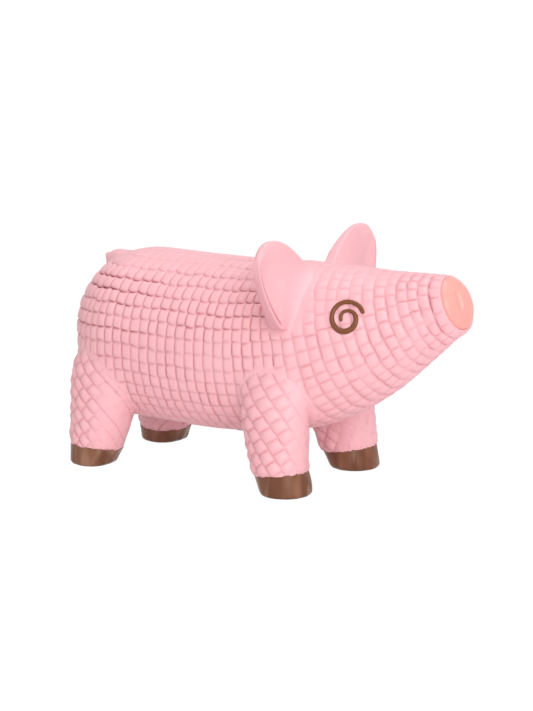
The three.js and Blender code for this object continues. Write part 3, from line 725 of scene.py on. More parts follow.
for radius, depth in ((NOSE_RADIUS + 0.1, 0), (NOSE_RADIUS + 0.05, NOSE_POCKET), (0, NOSE_POCKET)):
    flat = np.outer(np.cos(turns), [0, 1, 0]) + np.outer(np.sin(turns), muzzle_up)
    pocket.append(muzzle_middle + radius * flat + muzzle_normal * (MUZZLE_LIP - depth))
front_wall = MUZZLE - MUZZLE_WALL / SNOUT_STATION
lining = np.linspace(front_wall, NECK, 16)[:, None]
inner = skin_point(lining, np.broadcast_to(turns, (len(lining), len(turns))), WALL)
end = np.broadcast_to(inner[0].mean(axis=0), (1, len(turns), 3))
sheet = np.concatenate([end, inner, outer, lip, pocket])
# Painted shade: a redder, darker pink laid into the head's cuts, as deep as they are cut.
cut_shade = np.zeros(sheet.shape[:2])
start = 1 + len(lining)
cut_shade[start : start + len(outer)] = padded * np.array(cuts) / RING_DEPTH
head_skin = wrapped_sheet("head_skin_carved", sheet, cut_shade)
head_skin.data.materials.append(pink_latex)
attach(head_skin, "toy")
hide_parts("head_skin")

# Legs: four hollow latex stumps that flare into the belly and lean a little to the middle. Their pads are
# cut on the slant, on the outer and hind sides only, and the front and inner sides stay smooth.
LEG_BANDS = {"front": 12, "rear": 14}  # bands of pads round a leg
LEG_BAND_WIDTH = {"front": 6.3, "rear": 5.2}
LEG_PAD = 4.4  # height of a pad along its band
LEG_PAD_LENGTH = 5.2
LEG_RISE = 3.25  # how far a pad's cut climbs across its band
LEG_TWIST = {"front": math.radians(2.45), "rear": math.radians(4.1)}  # the bands' turn per mm of height
LEG_START = 4  # the leg's end, inside the hoof
LEG_LINING = 4.4
LEG_CUT = 0.5
LEG_CROWN = 0.75
LEG_WRINKLE = 0.42  # depth of the faint wrinkles on the smooth sides
LEG_SUNK = 0.1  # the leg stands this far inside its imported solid
LEG_GIRTH = {"front": 0.8, "rear": 0}  # between hoof and trunk it stands out by this
LEG_LAP = 0.45  # and this far more where the hoof laps over it
DIPPED = 7.4  # height where the leg goes under the hoof's border
DRAWN_IN = ((0.4, 1.7), (1.2, 2.8), (2, 3.4))  # the way down from there, and in to the hoof's cup
LEG_SLIM = {"front": 3, "rear": 0.7}  # how far the leg's front is drawn in
SLIM_HEIGHTS = {"front": (2, 16, 32, 48), "rear": (-20, -10, 8, 19)}  # where that starts, is full, and ends
PLAIN_SIDE = {"front": (-55, -28), "rear": (-86, -52)}  # headings from straight ahead where the pads fade
PLAIN_INSIDE = {"front": (60, 115), "rear": (120, 160)}  # and on the inner side
# How far the dip's border rises: its mean, its tilt, and the heading of its highest side
HOOF_BORDER = {"front": (0.6, 1.7, -12), "rear": (-0.85, 1.43, -110)}
SLIM_HEADINGS = (-60, 15, 80, 150)  # headings where the slim side starts, is full, and ends
LINING_FLOOR = 4  # height of the lining's floor over the leg's end
LINING_SHORT = 6  # how much less tall than the leg the lining is
LINING_ROWS = 6
LEG_TOP_SUNK = 1.6  # how deep under the trunk's skin its top ends
LEG_SINK = 0.3  # how far the valley's far side lies under the trunk
BORDER_FADE = 2.4  # height over the hoof's border in which the pads set in
WRINKLE_BEND = 1.3  # how far the wrinkles wave round the leg
WRINKLE_SHARP = 8  # power that makes them narrow
# Painted shade: the strength of the redder pink painted into the legs' cuts.
CUT_SHADE = 0.65  # how red the legs' cuts show, next to the trunk's
ENDS = (("front", FRONT), ("rear", REAR))
SIDES = (("right", 1), ("left", -1))


def hump(value, start, full, until, end):
    """Rises from 0 at start to 1 at full, and falls again from until to end."""
    return fade(value, start, full) * (1 - fade(value, until, end))


def last_before(passed, low, high, count):
    """The last values between low and high before a test passes, found by halving."""
    low = np.full(count, float(low))
    high = np.full(count, float(high))
    for _ in range(30):
        middle = (low + high) / 2
        over = passed(middle)
        high = np.where(over, middle, high)
        low = np.where(over, low, middle)
    return low


def leg_slim(end_name, angle, height):
    """How far a leg's front is drawn in."""
    heading = (np.degrees(angle) + 180) % 360 - 180
    return LEG_SLIM[end_name] * hump(heading, *SLIM_HEADINGS) * hump(height, *SLIM_HEIGHTS[end_name])


def hoof_rise(end_name, angle):
    """How far the hoof's upper border stands over its even height."""
    mean, tilt, highest = HOOF_BORDER[end_name]
    return mean + tilt * np.cos(angle - math.radians(highest))


def skin_distance(points):
    """How far points lie outside the skin, about."""
    table = np.linspace(0, MUZZLE, 241)
    x, tilt, z, half_width, rise, drop = skin_oval(table)
    tilt = np.radians(tilt)
    flat = points.reshape(-1, 3)
    ahead = (flat[:, :1] - x) * np.cos(tilt) + (flat[:, 2:] - z) * np.sin(tilt)
    near = np.clip(np.argmax(ahead < 0, axis=1) - 1, 0, len(table) - 2)
    near = np.where(ahead[:, -1] > 0, len(table) - 2, near)
    before, after = (np.take_along_axis(ahead, (near + step)[:, None], 1)[:, 0] for step in (0, 1))
    mix = np.clip(before / (before - after), 0, 1)
    ovals = np.stack([x, tilt, z, half_width, rise, drop])
    x, tilt, z, half_width, rise, drop = ovals[:, near] * (1 - mix) + ovals[:, near + 1] * mix
    up = (flat[:, 2] - z) * np.cos(tilt) - (flat[:, 0] - x) * np.sin(tilt)
    reach = np.where(up > 0, rise, drop)
    power = OVAL_FULLNESS
    ring = (np.abs(flat[:, 1] / half_width) ** power + np.abs(up / reach) ** power) ** (1 / power)
    back = np.maximum(STATIONS[0, 0] - flat[:, 0], 0) / RUMP_LENGTH
    ring = np.maximum((ring**RUMP_FULLNESS + back**RUMP_FULLNESS) ** (1 / RUMP_FULLNESS), 1e-6)
    size = np.sqrt(flat[:, 1] ** 2 + up**2 + (back * RUMP_LENGTH) ** 2)
    return (size * (1 - 1 / ring)).reshape(points.shape[:-1])


def on_skin(points):
    """Points moved to the skin by the shortest way, and the skin's normals there."""
    for _ in range(8):
        normals = uphill(skin_distance, points)
        points = points - normals * skin_distance(points)[..., None]
    return points, normals


def slid_to_skin(spot, axis):
    """A spot moved along an axis, from outside, until it meets the skin."""
    for _ in range(12):
        spot[axis] += skin_distance(spot[None])[0]
    return spot


def leg_point(end, angle, height, inset=0):
    x, y, along, across, shoulder = leg_size(end, height)
    shrink = np.sqrt(np.maximum(1 - shoulder**2, 0))
    level = np.broadcast_to(height, np.shape(angle))
    x = x + (along * shrink - inset) * np.cos(angle)
    y = y + (across * shrink - inset) * np.sin(angle)
    return np.stack([x, y, level], -1)


def leg_sheet(end_name, end):
    """Rows and columns of points of a right leg, outside then lining, and the painted shade in each one's
    cuts, as deep as it is cut.
    """
    bands, band_width, twist = LEG_BANDS[end_name], LEG_BAND_WIDTH[end_name], LEG_TWIST[end_name]
    across = (np.arange(bands)[:, None] + pad_lines(6, band_width)).ravel()
    across = np.r_[across, bands]
    line = across % 1
    start = across / bands * 2 * math.pi
    jogs = np.r_[rng.uniform(0, LEG_PAD, bands), 0]
    jogs[-1] = jogs[0]
    band = across.astype(int)
    climb = line * LEG_RISE + jogs[band]
    bottom = line == 0
    climb[bottom] = (jogs + np.roll(jogs + LEG_RISE, 1))[band[bottom]] / 2
    climb[-1] = climb[0]

    def under_trunk(level):
        return skin_distance(leg_point(end, start - twist * level, level)) < -LEG_TOP_SUNK

    top = last_before(under_trunk, 10, LEG_HEIGHT - 0.5, len(start))
    pads = int(LEG_HEIGHT / LEG_PAD) + 1
    up = (np.arange(-1, pads)[:, None] + pad_lines(6, LEG_PAD_LENGTH)).ravel()
    way_up = np.minimum(up % 1, 1 - up % 1) * LEG_PAD_LENGTH
    way_across = np.minimum(line, 1 - line) * band_width
    border = np.full(len(start), float(DIPPED))
    for _ in range(8):
        border = DIPPED + hoof_rise(end_name, start - twist * border)
    height = np.clip(LEG_START + up[:, None] * LEG_PAD + climb, border, top)
    angle = start - twist * height
    points = leg_point(end, angle, height)
    axis = np.stack(np.broadcast_arrays(*leg_size(end, height)[:2], height), -1)
    normals = facing(lambda a, h: leg_point(end, a, h), angle, height, axis)
    valley = soft_valley(points, normals, skin_distance, leg_fillet(points), LEG_SINK)
    heading = np.degrees((angle + math.pi) % (2 * math.pi) - math.pi)
    padded_from, padded_to = PLAIN_SIDE[end_name]
    smooth_front = fade(-heading, -padded_to, -padded_from)
    smooth_inside = fade(np.where(heading > 0, heading, 180), *PLAIN_INSIDE[end_name])
    padded = np.where(heading > 0, smooth_inside, smooth_front) * fade(skin_distance(points), 0.2, 2)
    heights = rng.normal(0, PAD_UNEVEN, (bands, pads + 1))[band % bands][:, (up + 1).astype(int)].T
    depth = np.maximum(groove(way_across), groove(way_up)[:, None])
    round_across = 1 - (2 * line - 1) ** 2
    round_up = 1 - (2 * (up % 1) - 1) ** 2
    bulge = LEG_CROWN * round_across * round_up[:, None] + heights
    wrinkle = np.sin(height * 2 * math.pi / LEG_PAD + WRINKLE_BEND * np.sin(2 * angle)) ** WRINKLE_SHARP
    over_border = fade(height - border, 0, BORDER_FADE)
    padded = padded * over_border
    pad_relief = bulge * (1 - depth) - LEG_CUT * depth
    relief = valley - LEG_SUNK - LEG_LAP * (1 - over_border) + padded * pad_relief
    relief -= LEG_WRINKLE * (1 - padded) * wrinkle * (1 - fade(valley, 0.1, 1))
    relief -= leg_slim(end_name, angle, height)
    relief += LEG_GIRTH[end_name] * over_border * fade(skin_distance(points), 1, 8)
    outer = points + normals * relief[..., None]
    under = []
    for down, inward in reversed(DRAWN_IN):
        ring_angle = start - twist * border
        ring = leg_point(end, ring_angle, border - down, inward + leg_slim(end_name, ring_angle, border))
        under.append(ring)
    foot = np.broadcast_to(under[0].mean(axis=0), under[0].shape)
    lining_share = np.linspace(1, 0, LINING_ROWS)[:, None]
    lining_height = LEG_START + LINING_FLOOR + lining_share * (top - LEG_START - LINING_SHORT)
    inner = leg_point(end, start - twist * lining_height, lining_height, LEG_LINING)
    floor = np.broadcast_to(inner[-1:].mean(axis=1, keepdims=True), inner[-1:].shape)
    sheet = np.concatenate([foot[None], under, outer, inner, floor])
    # Painted shade in the leg's cuts, as deep as they are cut and fainter than the trunk's.
    cut_shade = np.zeros(sheet.shape[:2])
    first = 1 + len(under)
    cut_shade[first : first + len(outer)] = padded * depth * CUT_SHADE
    return sheet, cut_shade


for end_name, end in ENDS:
    sheet, cut_shade = leg_sheet(end_name, end)
    for side_name, side in SIDES:
        leg = wrapped_sheet(f"leg_{end_name}_{side_name}_carved", sheet * [1, side, 1], cut_shade)
        leg.data.materials.append(pink_latex)
        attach(leg, "toy")
        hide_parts(f"leg_{end_name}_{side_name}")

# Hooves: brown latex caps, dipped over the leg's end after moulding, so their upper border is ragged. The
# mould's toe was pared with a knife, which leaves shallow upright facets that catch the light.
HOOF_HEIGHT = 8.6
HOOF_EDGE = 1.8
HOOF_WALL = 1.8
HOOF_SOLE = 2.6
HOOF_FACETS = 15
HOOF_RAGGED = 0.56
RAGGED_WAVES = (3, 5, 8, 13)  # waves round the border
FACET_SPREAD = (0.6, 1.4)  # the facets' widths vary by these shares
FACET_DEPTH = 0.65  # share of a flat cut's depth
HOOF_TAPER = {"front": (math.pi, 1.3), "rear": (0, 2.3)}  # side that slants in towards the sole, and how far


def select_only(piece, kind, test):
    """Enters edit mode with only the vertices, edges or faces selected that pass a test."""
    if bpy.context.mode == "EDIT_MESH":
        bpy.ops.object.mode_set(mode="OBJECT")
    bpy.ops.object.mode_set(mode="EDIT")
    bpy.ops.mesh.select_mode(type={"vertices": "VERT", "edges": "EDGE", "polygons": "FACE"}[kind])
    bpy.ops.mesh.select_all(action="DESELECT")
    bpy.ops.object.mode_set(mode="OBJECT")
    for part in getattr(piece.data, kind):
        part.select = bool(test(part))
    bpy.ops.object.mode_set(mode="EDIT")


def edge_ends(piece, edge):
    return [piece.data.vertices[index].co / MM for index in edge.vertices]


def hoof_piece(name, end_name, end):
    """A right hoof: a cylinder with its sole's edge rounded and its cup sunk, then leant and pared."""
    bpy.ops.mesh.primitive_cylinder_add(
        vertices=120, radius=FOOT_RADIUS * MM, depth=HOOF_HEIGHT * MM, location=(0, 0, HOOF_HEIGHT * MM / 2)
    )
    piece = named(name)
    bpy.ops.object.transform_apply(location=True, rotation=True, scale=True)
    select_only(piece, "edges", lambda edge: max(p.z for p in edge_ends(piece, edge)) < 0.01)
    bpy.ops.mesh.bevel(offset=HOOF_EDGE * MM, segments=6, affect="EDGES")
    select_only(piece, "edges", lambda edge: abs(np.diff([p.z for p in edge_ends(piece, edge)])[0]) > 4)
    bpy.ops.mesh.subdivide(number_cuts=5)
    select_only(piece, "polygons", lambda face: face.center.z / MM > HOOF_HEIGHT - 0.01)
    bpy.ops.mesh.inset(thickness=HOOF_WALL * MM)
    bpy.ops.mesh.extrude_region_move(TRANSFORM_OT_translate={"value": (0, 0, (HOOF_SOLE - HOOF_HEIGHT) * MM)})
    bpy.ops.object.mode_set(mode="OBJECT")
    corners = np.cumsum(rng.uniform(*FACET_SPREAD, HOOF_FACETS))
    corners = np.r_[0, corners / corners[-1]] * 2 * math.pi
    waves = rng.uniform(0, 2 * math.pi, len(RAGGED_WAVES))
    side, taper = HOOF_TAPER[end_name]
    for vertex in piece.data.vertices:
        x, y, z = vertex.co / MM
        share = math.hypot(x, y) / FOOT_RADIUS
        angle = math.atan2(y, x) % (2 * math.pi)
        facet = min(int(np.searchsorted(corners, angle, side="right")) - 1, HOOF_FACETS - 1)
        half = (corners[facet + 1] - corners[facet]) / 2
        pared = math.cos(half) / math.cos(angle - corners[facet] - half)
        slant = taper * (1 - z / HOOF_HEIGHT) * max(0, math.cos(angle - side)) ** 2
        ragged = np.mean([math.sin(step * angle + wave) for step, wave in zip(RAGGED_WAVES, waves)])
        z += (HOOF_RAGGED * ragged + hoof_rise(end_name, angle)) * (z / HOOF_HEIGHT) ** 2
        slant += leg_slim(end_name, angle, z)
        middle_x, middle_y, along, across, _ = leg_size(end, z)
        facet_depth = FACET_DEPTH * (1 - pared) * (1 - (z / HOOF_HEIGHT) ** 2)
        size = share * (1 - max(facet_depth, 0) - slant / FOOT_RADIUS)
        vertex.co.x = (middle_x + along * size * math.cos(angle) + SHIFT[0]) * MM
        vertex.co.y = (middle_y + across * size * math.sin(angle)) * MM
        vertex.co.z = z * MM
    return smoothed(piece, 20)


# Brown latex: the same rubber with a dark pigment, dipped and left glossier. Its streaks down the wall are
# partly the dip's own streaking and partly painted highlight for the facets' shine; its pale runs are painted
# highlight.
brown_latex = clouded(
    "brown_latex_dipped", 6, 2.0, ("#714835", "#8f634c"), (0.2, 0.3), 0.15,
    Roughness=0.3, Specular_IOR_Level=0.22, IOR=1.4,
)
tree = brown_latex.node_tree
cloud = tree.nodes["cloud"].outputs["Fac"]
# Streaks: partly the dip's own streaking, partly painted highlight on the pared facets.
streaks_and_sheen = add_node(tree, "ShaderNodeMapRange", Value=cloud, From_Min=0.35, From_Max=0.65)
tree.links.new(streaks_and_sheen.outputs["Result"], tree.nodes["pigment"].inputs[0])
place = tree.nodes["place"].outputs[0]
# Painted highlight: pale runs of a lighter brown down the wall.
highlight_noise = add_node(tree, "ShaderNodeTexNoise", Vector=place, Scale=1 / (4.5 * MM), Detail=1.0)
highlight_mask = add_node(
    tree, "ShaderNodeMapRange", Value=highlight_noise.outputs["Fac"], From_Min=0.56, From_Max=0.66, To_Max=0.35
)
pigment = tree.nodes["pigment"].outputs[2]
in_highlight = highlight_mask.outputs["Result"]
highlight_brown = linear("#b09079")
painted_highlight = add_node(tree, "ShaderNodeMix", {"data_type": "RGBA"}, i0=in_highlight, i6=pigment, i7=highlight_brown)
tree.links.new(painted_highlight.outputs[2], tree.nodes["Principled BSDF"].inputs["Base Color"])
for end_name, end in ENDS:
    for side_name, side in SIDES:
        hoof = hoof_piece(f"hoof_{end_name}_{side_name}_dipped", end_name, end)
        if side < 0:
            for vertex in hoof.data.vertices:
                vertex.co.y *= -1
            hoof.data.flip_normals()
        hoof.data.materials.append(brown_latex)
        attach(hoof, "toy")
        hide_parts(f"hoof_{end_name}_{side_name}")

# Ears: thick latex petals moulded with the head, dished in front, with a crease inside the outer rim. The
# front runs out over the head in a wide soft skirt, and the blade leans forwards over its root.
EAR_LEAN = 2.1
EAR_CUP = 0.9
EAR_DISH = 1.1
EAR_DISH_WIDTH = 0.45
EAR_DISH_MIDDLE = -0.25  # across the ear, towards its outer edge
EAR_CREASE = 1.2  # depth of the crease
EAR_CREASE_WAY = 1.3  # from the rim to the crease
# Painted shade on the ear's crease and outer wall is fainter on the left ear.
CREASE_SHADE = {"right": 1, "left": 0.3}  # the left ear's crease is fainter
EAR_SECTION = 0.8  # power that squares the section's ends
EAR_TIP = 0.93  # share of the height where the tip's round starts
# Painted shade: the outer wall gets a deeper pink, as the cuts do, standing for the shade on that side.
EAR_WALL_SHADE = 1.3  # the outer wall shows a deeper pink, as the cuts do
EAR_COLUMNS = 168
EAR_ROWS = 40
SKIRT_ROWS = 16
SKIRT_RISE = (3, 13)  # where the skirt starts, above the skin, behind and before
SKIRT_SUNK = 0.03


def ear_across(turn):
    """Place across an ear, from its outer edge (-1) to the crown's (1), by turn round its section."""
    return -signed_power(np.cos(turn), EAR_SECTION)


def round_end(share, start):
    """Height of a quarter round that starts at a share and ends at 1."""
    return np.sqrt(1 - np.clip((share - start) / (1 - start), 0, 1) ** 2)


def ear_crease(turn, share, width=0.34):
    """How deep the crease inside the ear's outer rim is, from 0 to 1."""
    across = ear_across(turn)
    inside = (1 + across) * ear_half_width(share, across < 0) - EAR_CREASE_WAY
    ends = fade(1 - share, 0.02, 0.12) * fade(share, 0.03, 0.14)
    return np.exp(-((inside / width) ** 2)) * ends * (np.sin(turn) > 0)


def ear_point(turn, share):
    """Points of the right ear: turn round its section from the outer edge over the front, share of height."""
    across = ear_across(turn)
    half_width = ear_half_width(share, across < 0)
    level = np.clip(share, 0, 1)
    tip = round_end(share, EAR_TIP)
    ahead = (EAR_FRONT[0] + (EAR_FRONT[1] - EAR_FRONT[0]) * level) * tip
    behind = (EAR_BACK[1] + (EAR_BACK[0] - EAR_BACK[1]) * (1 - level) ** 2) * tip
    thin = 1 - 0.85 * fade(0.12 - share, 0, 0.3) * fade(-across, 0.3, 0.9)  # the outer end runs out
    bulge = np.abs(np.sin(turn)) ** np.where(across < 0, 0.13, 0.4)
    rise = np.where(np.sin(turn) > 0, ahead, -behind) * thin * bulge
    x = half_width * across
    rise += EAR_CUP * (x / EAR_HALF_WIDTH) ** 2 * np.clip(2 * share, 0, 1) + EAR_LEAN * level**2
    hollow = np.exp(-(((across - EAR_DISH_MIDDLE) / EAR_DISH_WIDTH) ** 2))
    hollow = hollow * fade(share, 0.1, 0.5) * fade(1 - share, 0, 0.3)
    rise -= np.where(np.sin(turn) > 0, EAR_DISH * hollow, 0) + EAR_CREASE * ear_crease(turn, share)
    x = x + EAR_SWEEP * share
    up = EAR_HEIGHT * share
    return ear_root + x[..., None] * ear_crown + up[..., None] * ear_outward + rise[..., None] * ear_forward


turns = np.linspace(0, 2 * math.pi, EAR_COLUMNS + 1)


def outside_head(level):
    return skin_distance(ear_point(turns, level)) >= 0


root_share = last_before(outside_head, -0.6, 0.4, len(turns))
across = ear_across(turns)
front = np.where(np.sin(turns) > 0, (1 - across**2) * crown_share(across), 0)
skirt_top = root_share + (SKIRT_RISE[0] + (SKIRT_RISE[1] - SKIRT_RISE[0]) * front) / EAR_HEIGHT
down = np.linspace(0, 1, EAR_ROWS)[:, None] ** 2
share = 1 + (skirt_top - 1) * down
blade = ear_point(np.broadcast_to(turns, share.shape), share)
blade[0] = blade[0].mean(axis=0)
knee = ear_point(turns, root_share)
away = np.outer(across, ear_crown) + np.outer(np.sign(np.sin(turns)) * np.sqrt(1 - across**2), ear_forward)
reach = ear_reach(across, np.sin(turns) > 0)
spread, normals = on_skin(knee + reach[:, None] * away)
spread = spread - SKIRT_SUNK * normals
way = np.linspace(0, 1, SKIRT_ROWS)[1:, None, None]
skirt = (1 - way) ** 2 * blade[-1] + 2 * way * (1 - way) * knee + way**2 * spread
bottom = np.broadcast_to(spread.mean(axis=0) - 4 * ear_outward, spread[None].shape)
ear_sheet = np.concatenate([blade, skirt, bottom])
# Painted shade: a redder pink along the crease inside the rim and on the outer wall, fading over the skirt.
crease_and_wall_shade = np.zeros(ear_sheet.shape[:2])
outer_wall = fade(np.cos(turns), 0.3, 0.9) * fade(-np.sin(turns), -0.12, 0.05)
crease_and_wall_shade[:EAR_ROWS] = 2 * ear_crease(np.broadcast_to(turns, share.shape), share, 0.6)
crease_and_wall_shade[:EAR_ROWS] += EAR_WALL_SHADE * outer_wall * fade(1 - share, 0, 0.25)
crease_and_wall_shade[EAR_ROWS:-1] += EAR_WALL_SHADE * outer_wall * (1 - way[..., 0])
BEND_START = 1.5  # the bend's start and end, out from the root
BEND_END = 8
for side_name, side in SIDES:
    mirror = np.array([1, side, 1])
    ear = wrapped_sheet(f"ear_{side_name}_petal", ear_sheet * mirror, crease_and_wall_shade * CREASE_SHADE[side_name])
    ear.data.materials.append(pink_latex)
    bend = [(ear_root + out * ear_outward) * mirror + SHIFT for out in (BEND_START, BEND_END)]
    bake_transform(ear)
    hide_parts(f"ear_{side_name}")

# Tail: a short curl of the skin's own latex, moulded on the rump and run softly into it. It lies back along
# the rump, with its pointed tip turned up.
TAIL_TIP = 0.86  # share of its length where the tip's round starts
TAIL_RINGS = 40
TAIL_COLUMNS = 36
middles, radii = tail_line(TAIL_RINGS)
heading = unit(np.gradient(middles, axis=0))
aside = np.array([0.0, 1, 0])
over = np.cross(heading, aside)
radii = radii * round_end(np.linspace(0, 1, TAIL_RINGS), TAIL_TIP)
turns = np.linspace(0, 2 * math.pi, TAIL_COLUMNS + 1)
tail_normals = np.cos(turns)[None, :, None] * aside + np.sin(turns)[None, :, None] * over[:, None, :]
tail_points = middles[:, None, :] + radii[:, None, None] * tail_normals
valley = soft_valley(tail_points, tail_normals, skin_distance, TAIL_FILLET, LEG_SINK)
tail_points = tail_points + tail_normals * valley[..., None]
root_end = np.broadcast_to(middles[0], tail_points[:1].shape)
tail = wrapped_sheet("tail_curl", np.concatenate([root_end, tail_points]))
tail.data.materials.append(pink_latex)
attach(tail, "toy")
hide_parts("tail")

# Eyes: a bead of brown latex piped on each cheek in one stroke, a wide ring that winds into a small hook.
# It is thickest under the ring, where the nozzle slowed, and tapers at both ends.
EYE_X = 76.9
EYE_Z = 79
EYE_ANGLES = np.array([16, 50, 90, 180, 270, 360, 450, 540, 604])
EYE_RADII = np.array([8.0, 7.35, 6.5, 5.7, 6.2, 4.85, 2.5, 1.75, 2.25])
EYE_BEADS = np.array([0.85, 0.95, 0.98, 1.0, 1.28, 1.05, 0.7, 0.8, 0.7])
EYE_STEPS = 130
EYE_COLUMNS = 18
EYE_ROUND = 4  # steps in each round end
BEAD_FLAT = 0.85  # a bead's height over its width
BEAD_LIFT = 0.35  # its middle stands over the skin
eye_spot = slid_to_skin(np.array([EYE_X, -30.0, EYE_Z]), 1)
eye_normal = on_skin(eye_spot[None])[1][0]
eye_ahead = unit(np.array([1.0, 0, 0]) - eye_normal * eye_normal[0])
eye_up = np.cross(eye_ahead, -eye_normal)
eye_up *= np.sign(eye_up[2])
knots = np.stack([EYE_ANGLES / 60, EYE_RADII, EYE_BEADS], -1)
stroke = smooth_through(knots, np.linspace(0, len(knots) - 1, EYE_STEPS))
turn = stroke[:, 0] * math.radians(60)
line = eye_spot + stroke[:, 1:2] * (np.cos(turn)[:, None] * eye_ahead + np.sin(turn)[:, None] * eye_up)
for _ in range(10):
    line = line - skin_distance(line)[:, None] * eye_normal
heading = unit(np.gradient(line, axis=0))
aside = unit(np.cross(heading, eye_normal))
over = np.cross(aside, heading)
over *= np.sign(np.sum(over * eye_normal, 1, keepdims=True))
rounding = np.sqrt(1 - np.clip(1 - np.arange(EYE_STEPS) / EYE_ROUND, 0, 1) ** 2)
bead = stroke[:, 2] * rounding * rounding[::-1]
around = np.linspace(0, 2 * math.pi, EYE_COLUMNS + 1)
ring = np.cos(around)[None, :, None] * aside[:, None]
ring = ring + BEAD_FLAT * np.sin(around)[None, :, None] * over[:, None]
eye_sheet = line[:, None] + BEAD_LIFT * over[:, None] + bead[:, None, None] * ring
# Piped latex: the same rubber as the hooves, left thick, so it set with a smooth gloss and faint clouding.
eye_latex = clouded(
    "brown_latex_piped", 2.5, 2.0, ("#6e4027", "#84512f"), (0.15, 0.2),
    Roughness=0.2, Specular_IOR_Level=0.25, IOR=1.52,
)
for side_name, side in SIDES:
    eye = wrapped_sheet(f"eye_{side_name}_bead", eye_sheet * [1, side, 1])
    eye.data.materials.append(eye_latex)
    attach(eye, "toy")
    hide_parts(f"eye_{side_name}")

# Nose pad: a salmon latex disc glued into the muzzle's pocket, softly domed, with two shallow upright
# nostrils whose inner lips stand up a little.
NOSE_EDGE = 2.1
NOSE_ROUND = 0.8
NOSE_DOME = 3.8
NOSTRIL_SPACING = 8.5
NOSTRIL_LENGTH = 11
NOSTRIL_DEPTH = 0.9
NOSTRIL_HIGH = 0.4  # a nostril's middle over the pad's
NOSTRIL_SLANT = 0.12
NOSTRIL_LIP = 0.45
NOSE_RIM = 0.93  # share of the radius where the rim's round starts
NOSE_RINGS = (0.06, 0.12, 0.2, 0.3, *[0.45] * 22)  # widths of its mesh's rings, from the rim inwards


def stepped_disc(name, sides, radius, thick, rings):
    """A round disc whose far face is inset ring by ring, ready to be shaped."""
    bpy.ops.mesh.primitive_circle_add(vertices=sides, radius=radius * MM, fill_type="NGON")
    disc = named(name)
    bpy.ops.object.mode_set(mode="EDIT")
    bpy.ops.mesh.select_all(action="SELECT")
    bpy.ops.mesh.extrude_region_move(TRANSFORM_OT_translate={"value": (0, 0, thick * MM)})
    for width in rings:
        bpy.ops.mesh.inset(thickness=width * MM)
    close_mesh()
    return disc


nose = stepped_disc("nose_pad_domed", 120, NOSE_RADIUS, NOSE_EDGE, NOSE_RINGS)
nose_seat = MUZZLE_LIP - NOSE_POCKET
for vertex in nose.data.vertices:
    x, y, z = vertex.co / MM
    if z > 0.1:
        share = math.hypot(x, y) / NOSE_RADIUS
        z += NOSE_DOME * (1 - share**2.7) - NOSE_ROUND * (1 - round_end(share, NOSE_RIM))
        for nostril in (-1, 1):
            beside = x - nostril * NOSTRIL_SPACING / 2 + nostril * NOSTRIL_SLANT * (y - NOSTRIL_HIGH)
            inside = fade(1 - abs(y - NOSTRIL_HIGH) / (NOSTRIL_LENGTH / 2), 0, 0.5)
            z -= NOSTRIL_DEPTH * inside * math.exp(-((beside / 1.0) ** 2))
            z += NOSTRIL_LIP * inside * math.exp(-(((beside * nostril + 1.9) / 1.1) ** 2))
    at = muzzle_middle + [0, x, 0] + y * muzzle_up + (nose_seat + z) * muzzle_normal
    vertex.co = (at + SHIFT) * MM
smoothed(nose, 50)
# Salmon latex: paler and warmer than the skin, smooth from a polished mould, with a wide soft shine.
salmon_latex = clouded(
    "salmon_latex_polished", 6, 2.0, ("#f29b91", "#f6a79d"), (0.1, 0.3), Roughness=0.33, IOR=1.52
)
nose.data.materials.append(salmon_latex)
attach(nose, "toy")
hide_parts("nose_pad")

# Belly plug: the pink latex disc that closes the hole the toy was filled through, glued flush in the belly
# with a rounded rim.
PLUG_PROUD = 0.45
PLUG_ROUND = 0.4
PLUG_RINGS = (0.25, 0.35, 0.5, 1, 2, 3, 3, 3)
plug = stepped_disc("belly_plug_disc", 96, PLUG_RADIUS, -WALL, PLUG_RINGS)
for vertex in plug.data.vertices:
    x, y, z = vertex.co / MM
    share = math.hypot(x, y) / PLUG_RADIUS
    at = slid_to_skin(np.array([PLUG_X + x, y, 0.0]), 2)
    edge = PLUG_ROUND * fade(share, 0.9, 1) if z < -0.1 else 0
    at[2] += (edge - PLUG_PROUD) if z < -0.1 else WALL - 0.1
    vertex.co = (at + SHIFT) * MM
smoothed(plug, 60)
plug.data.materials.append(pink_latex)
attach(plug, "toy")
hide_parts("belly_plug")

# Fibre fill: siliconised polyester staple, teased and packed by hand into the trunk, the head and each leg.
# Each pad is lumpy where the tufts lie, and just clear of the skin round it.
FILL_VOXEL = 1.6
TUFT = 9
TUFT_DEPTH = 1.6
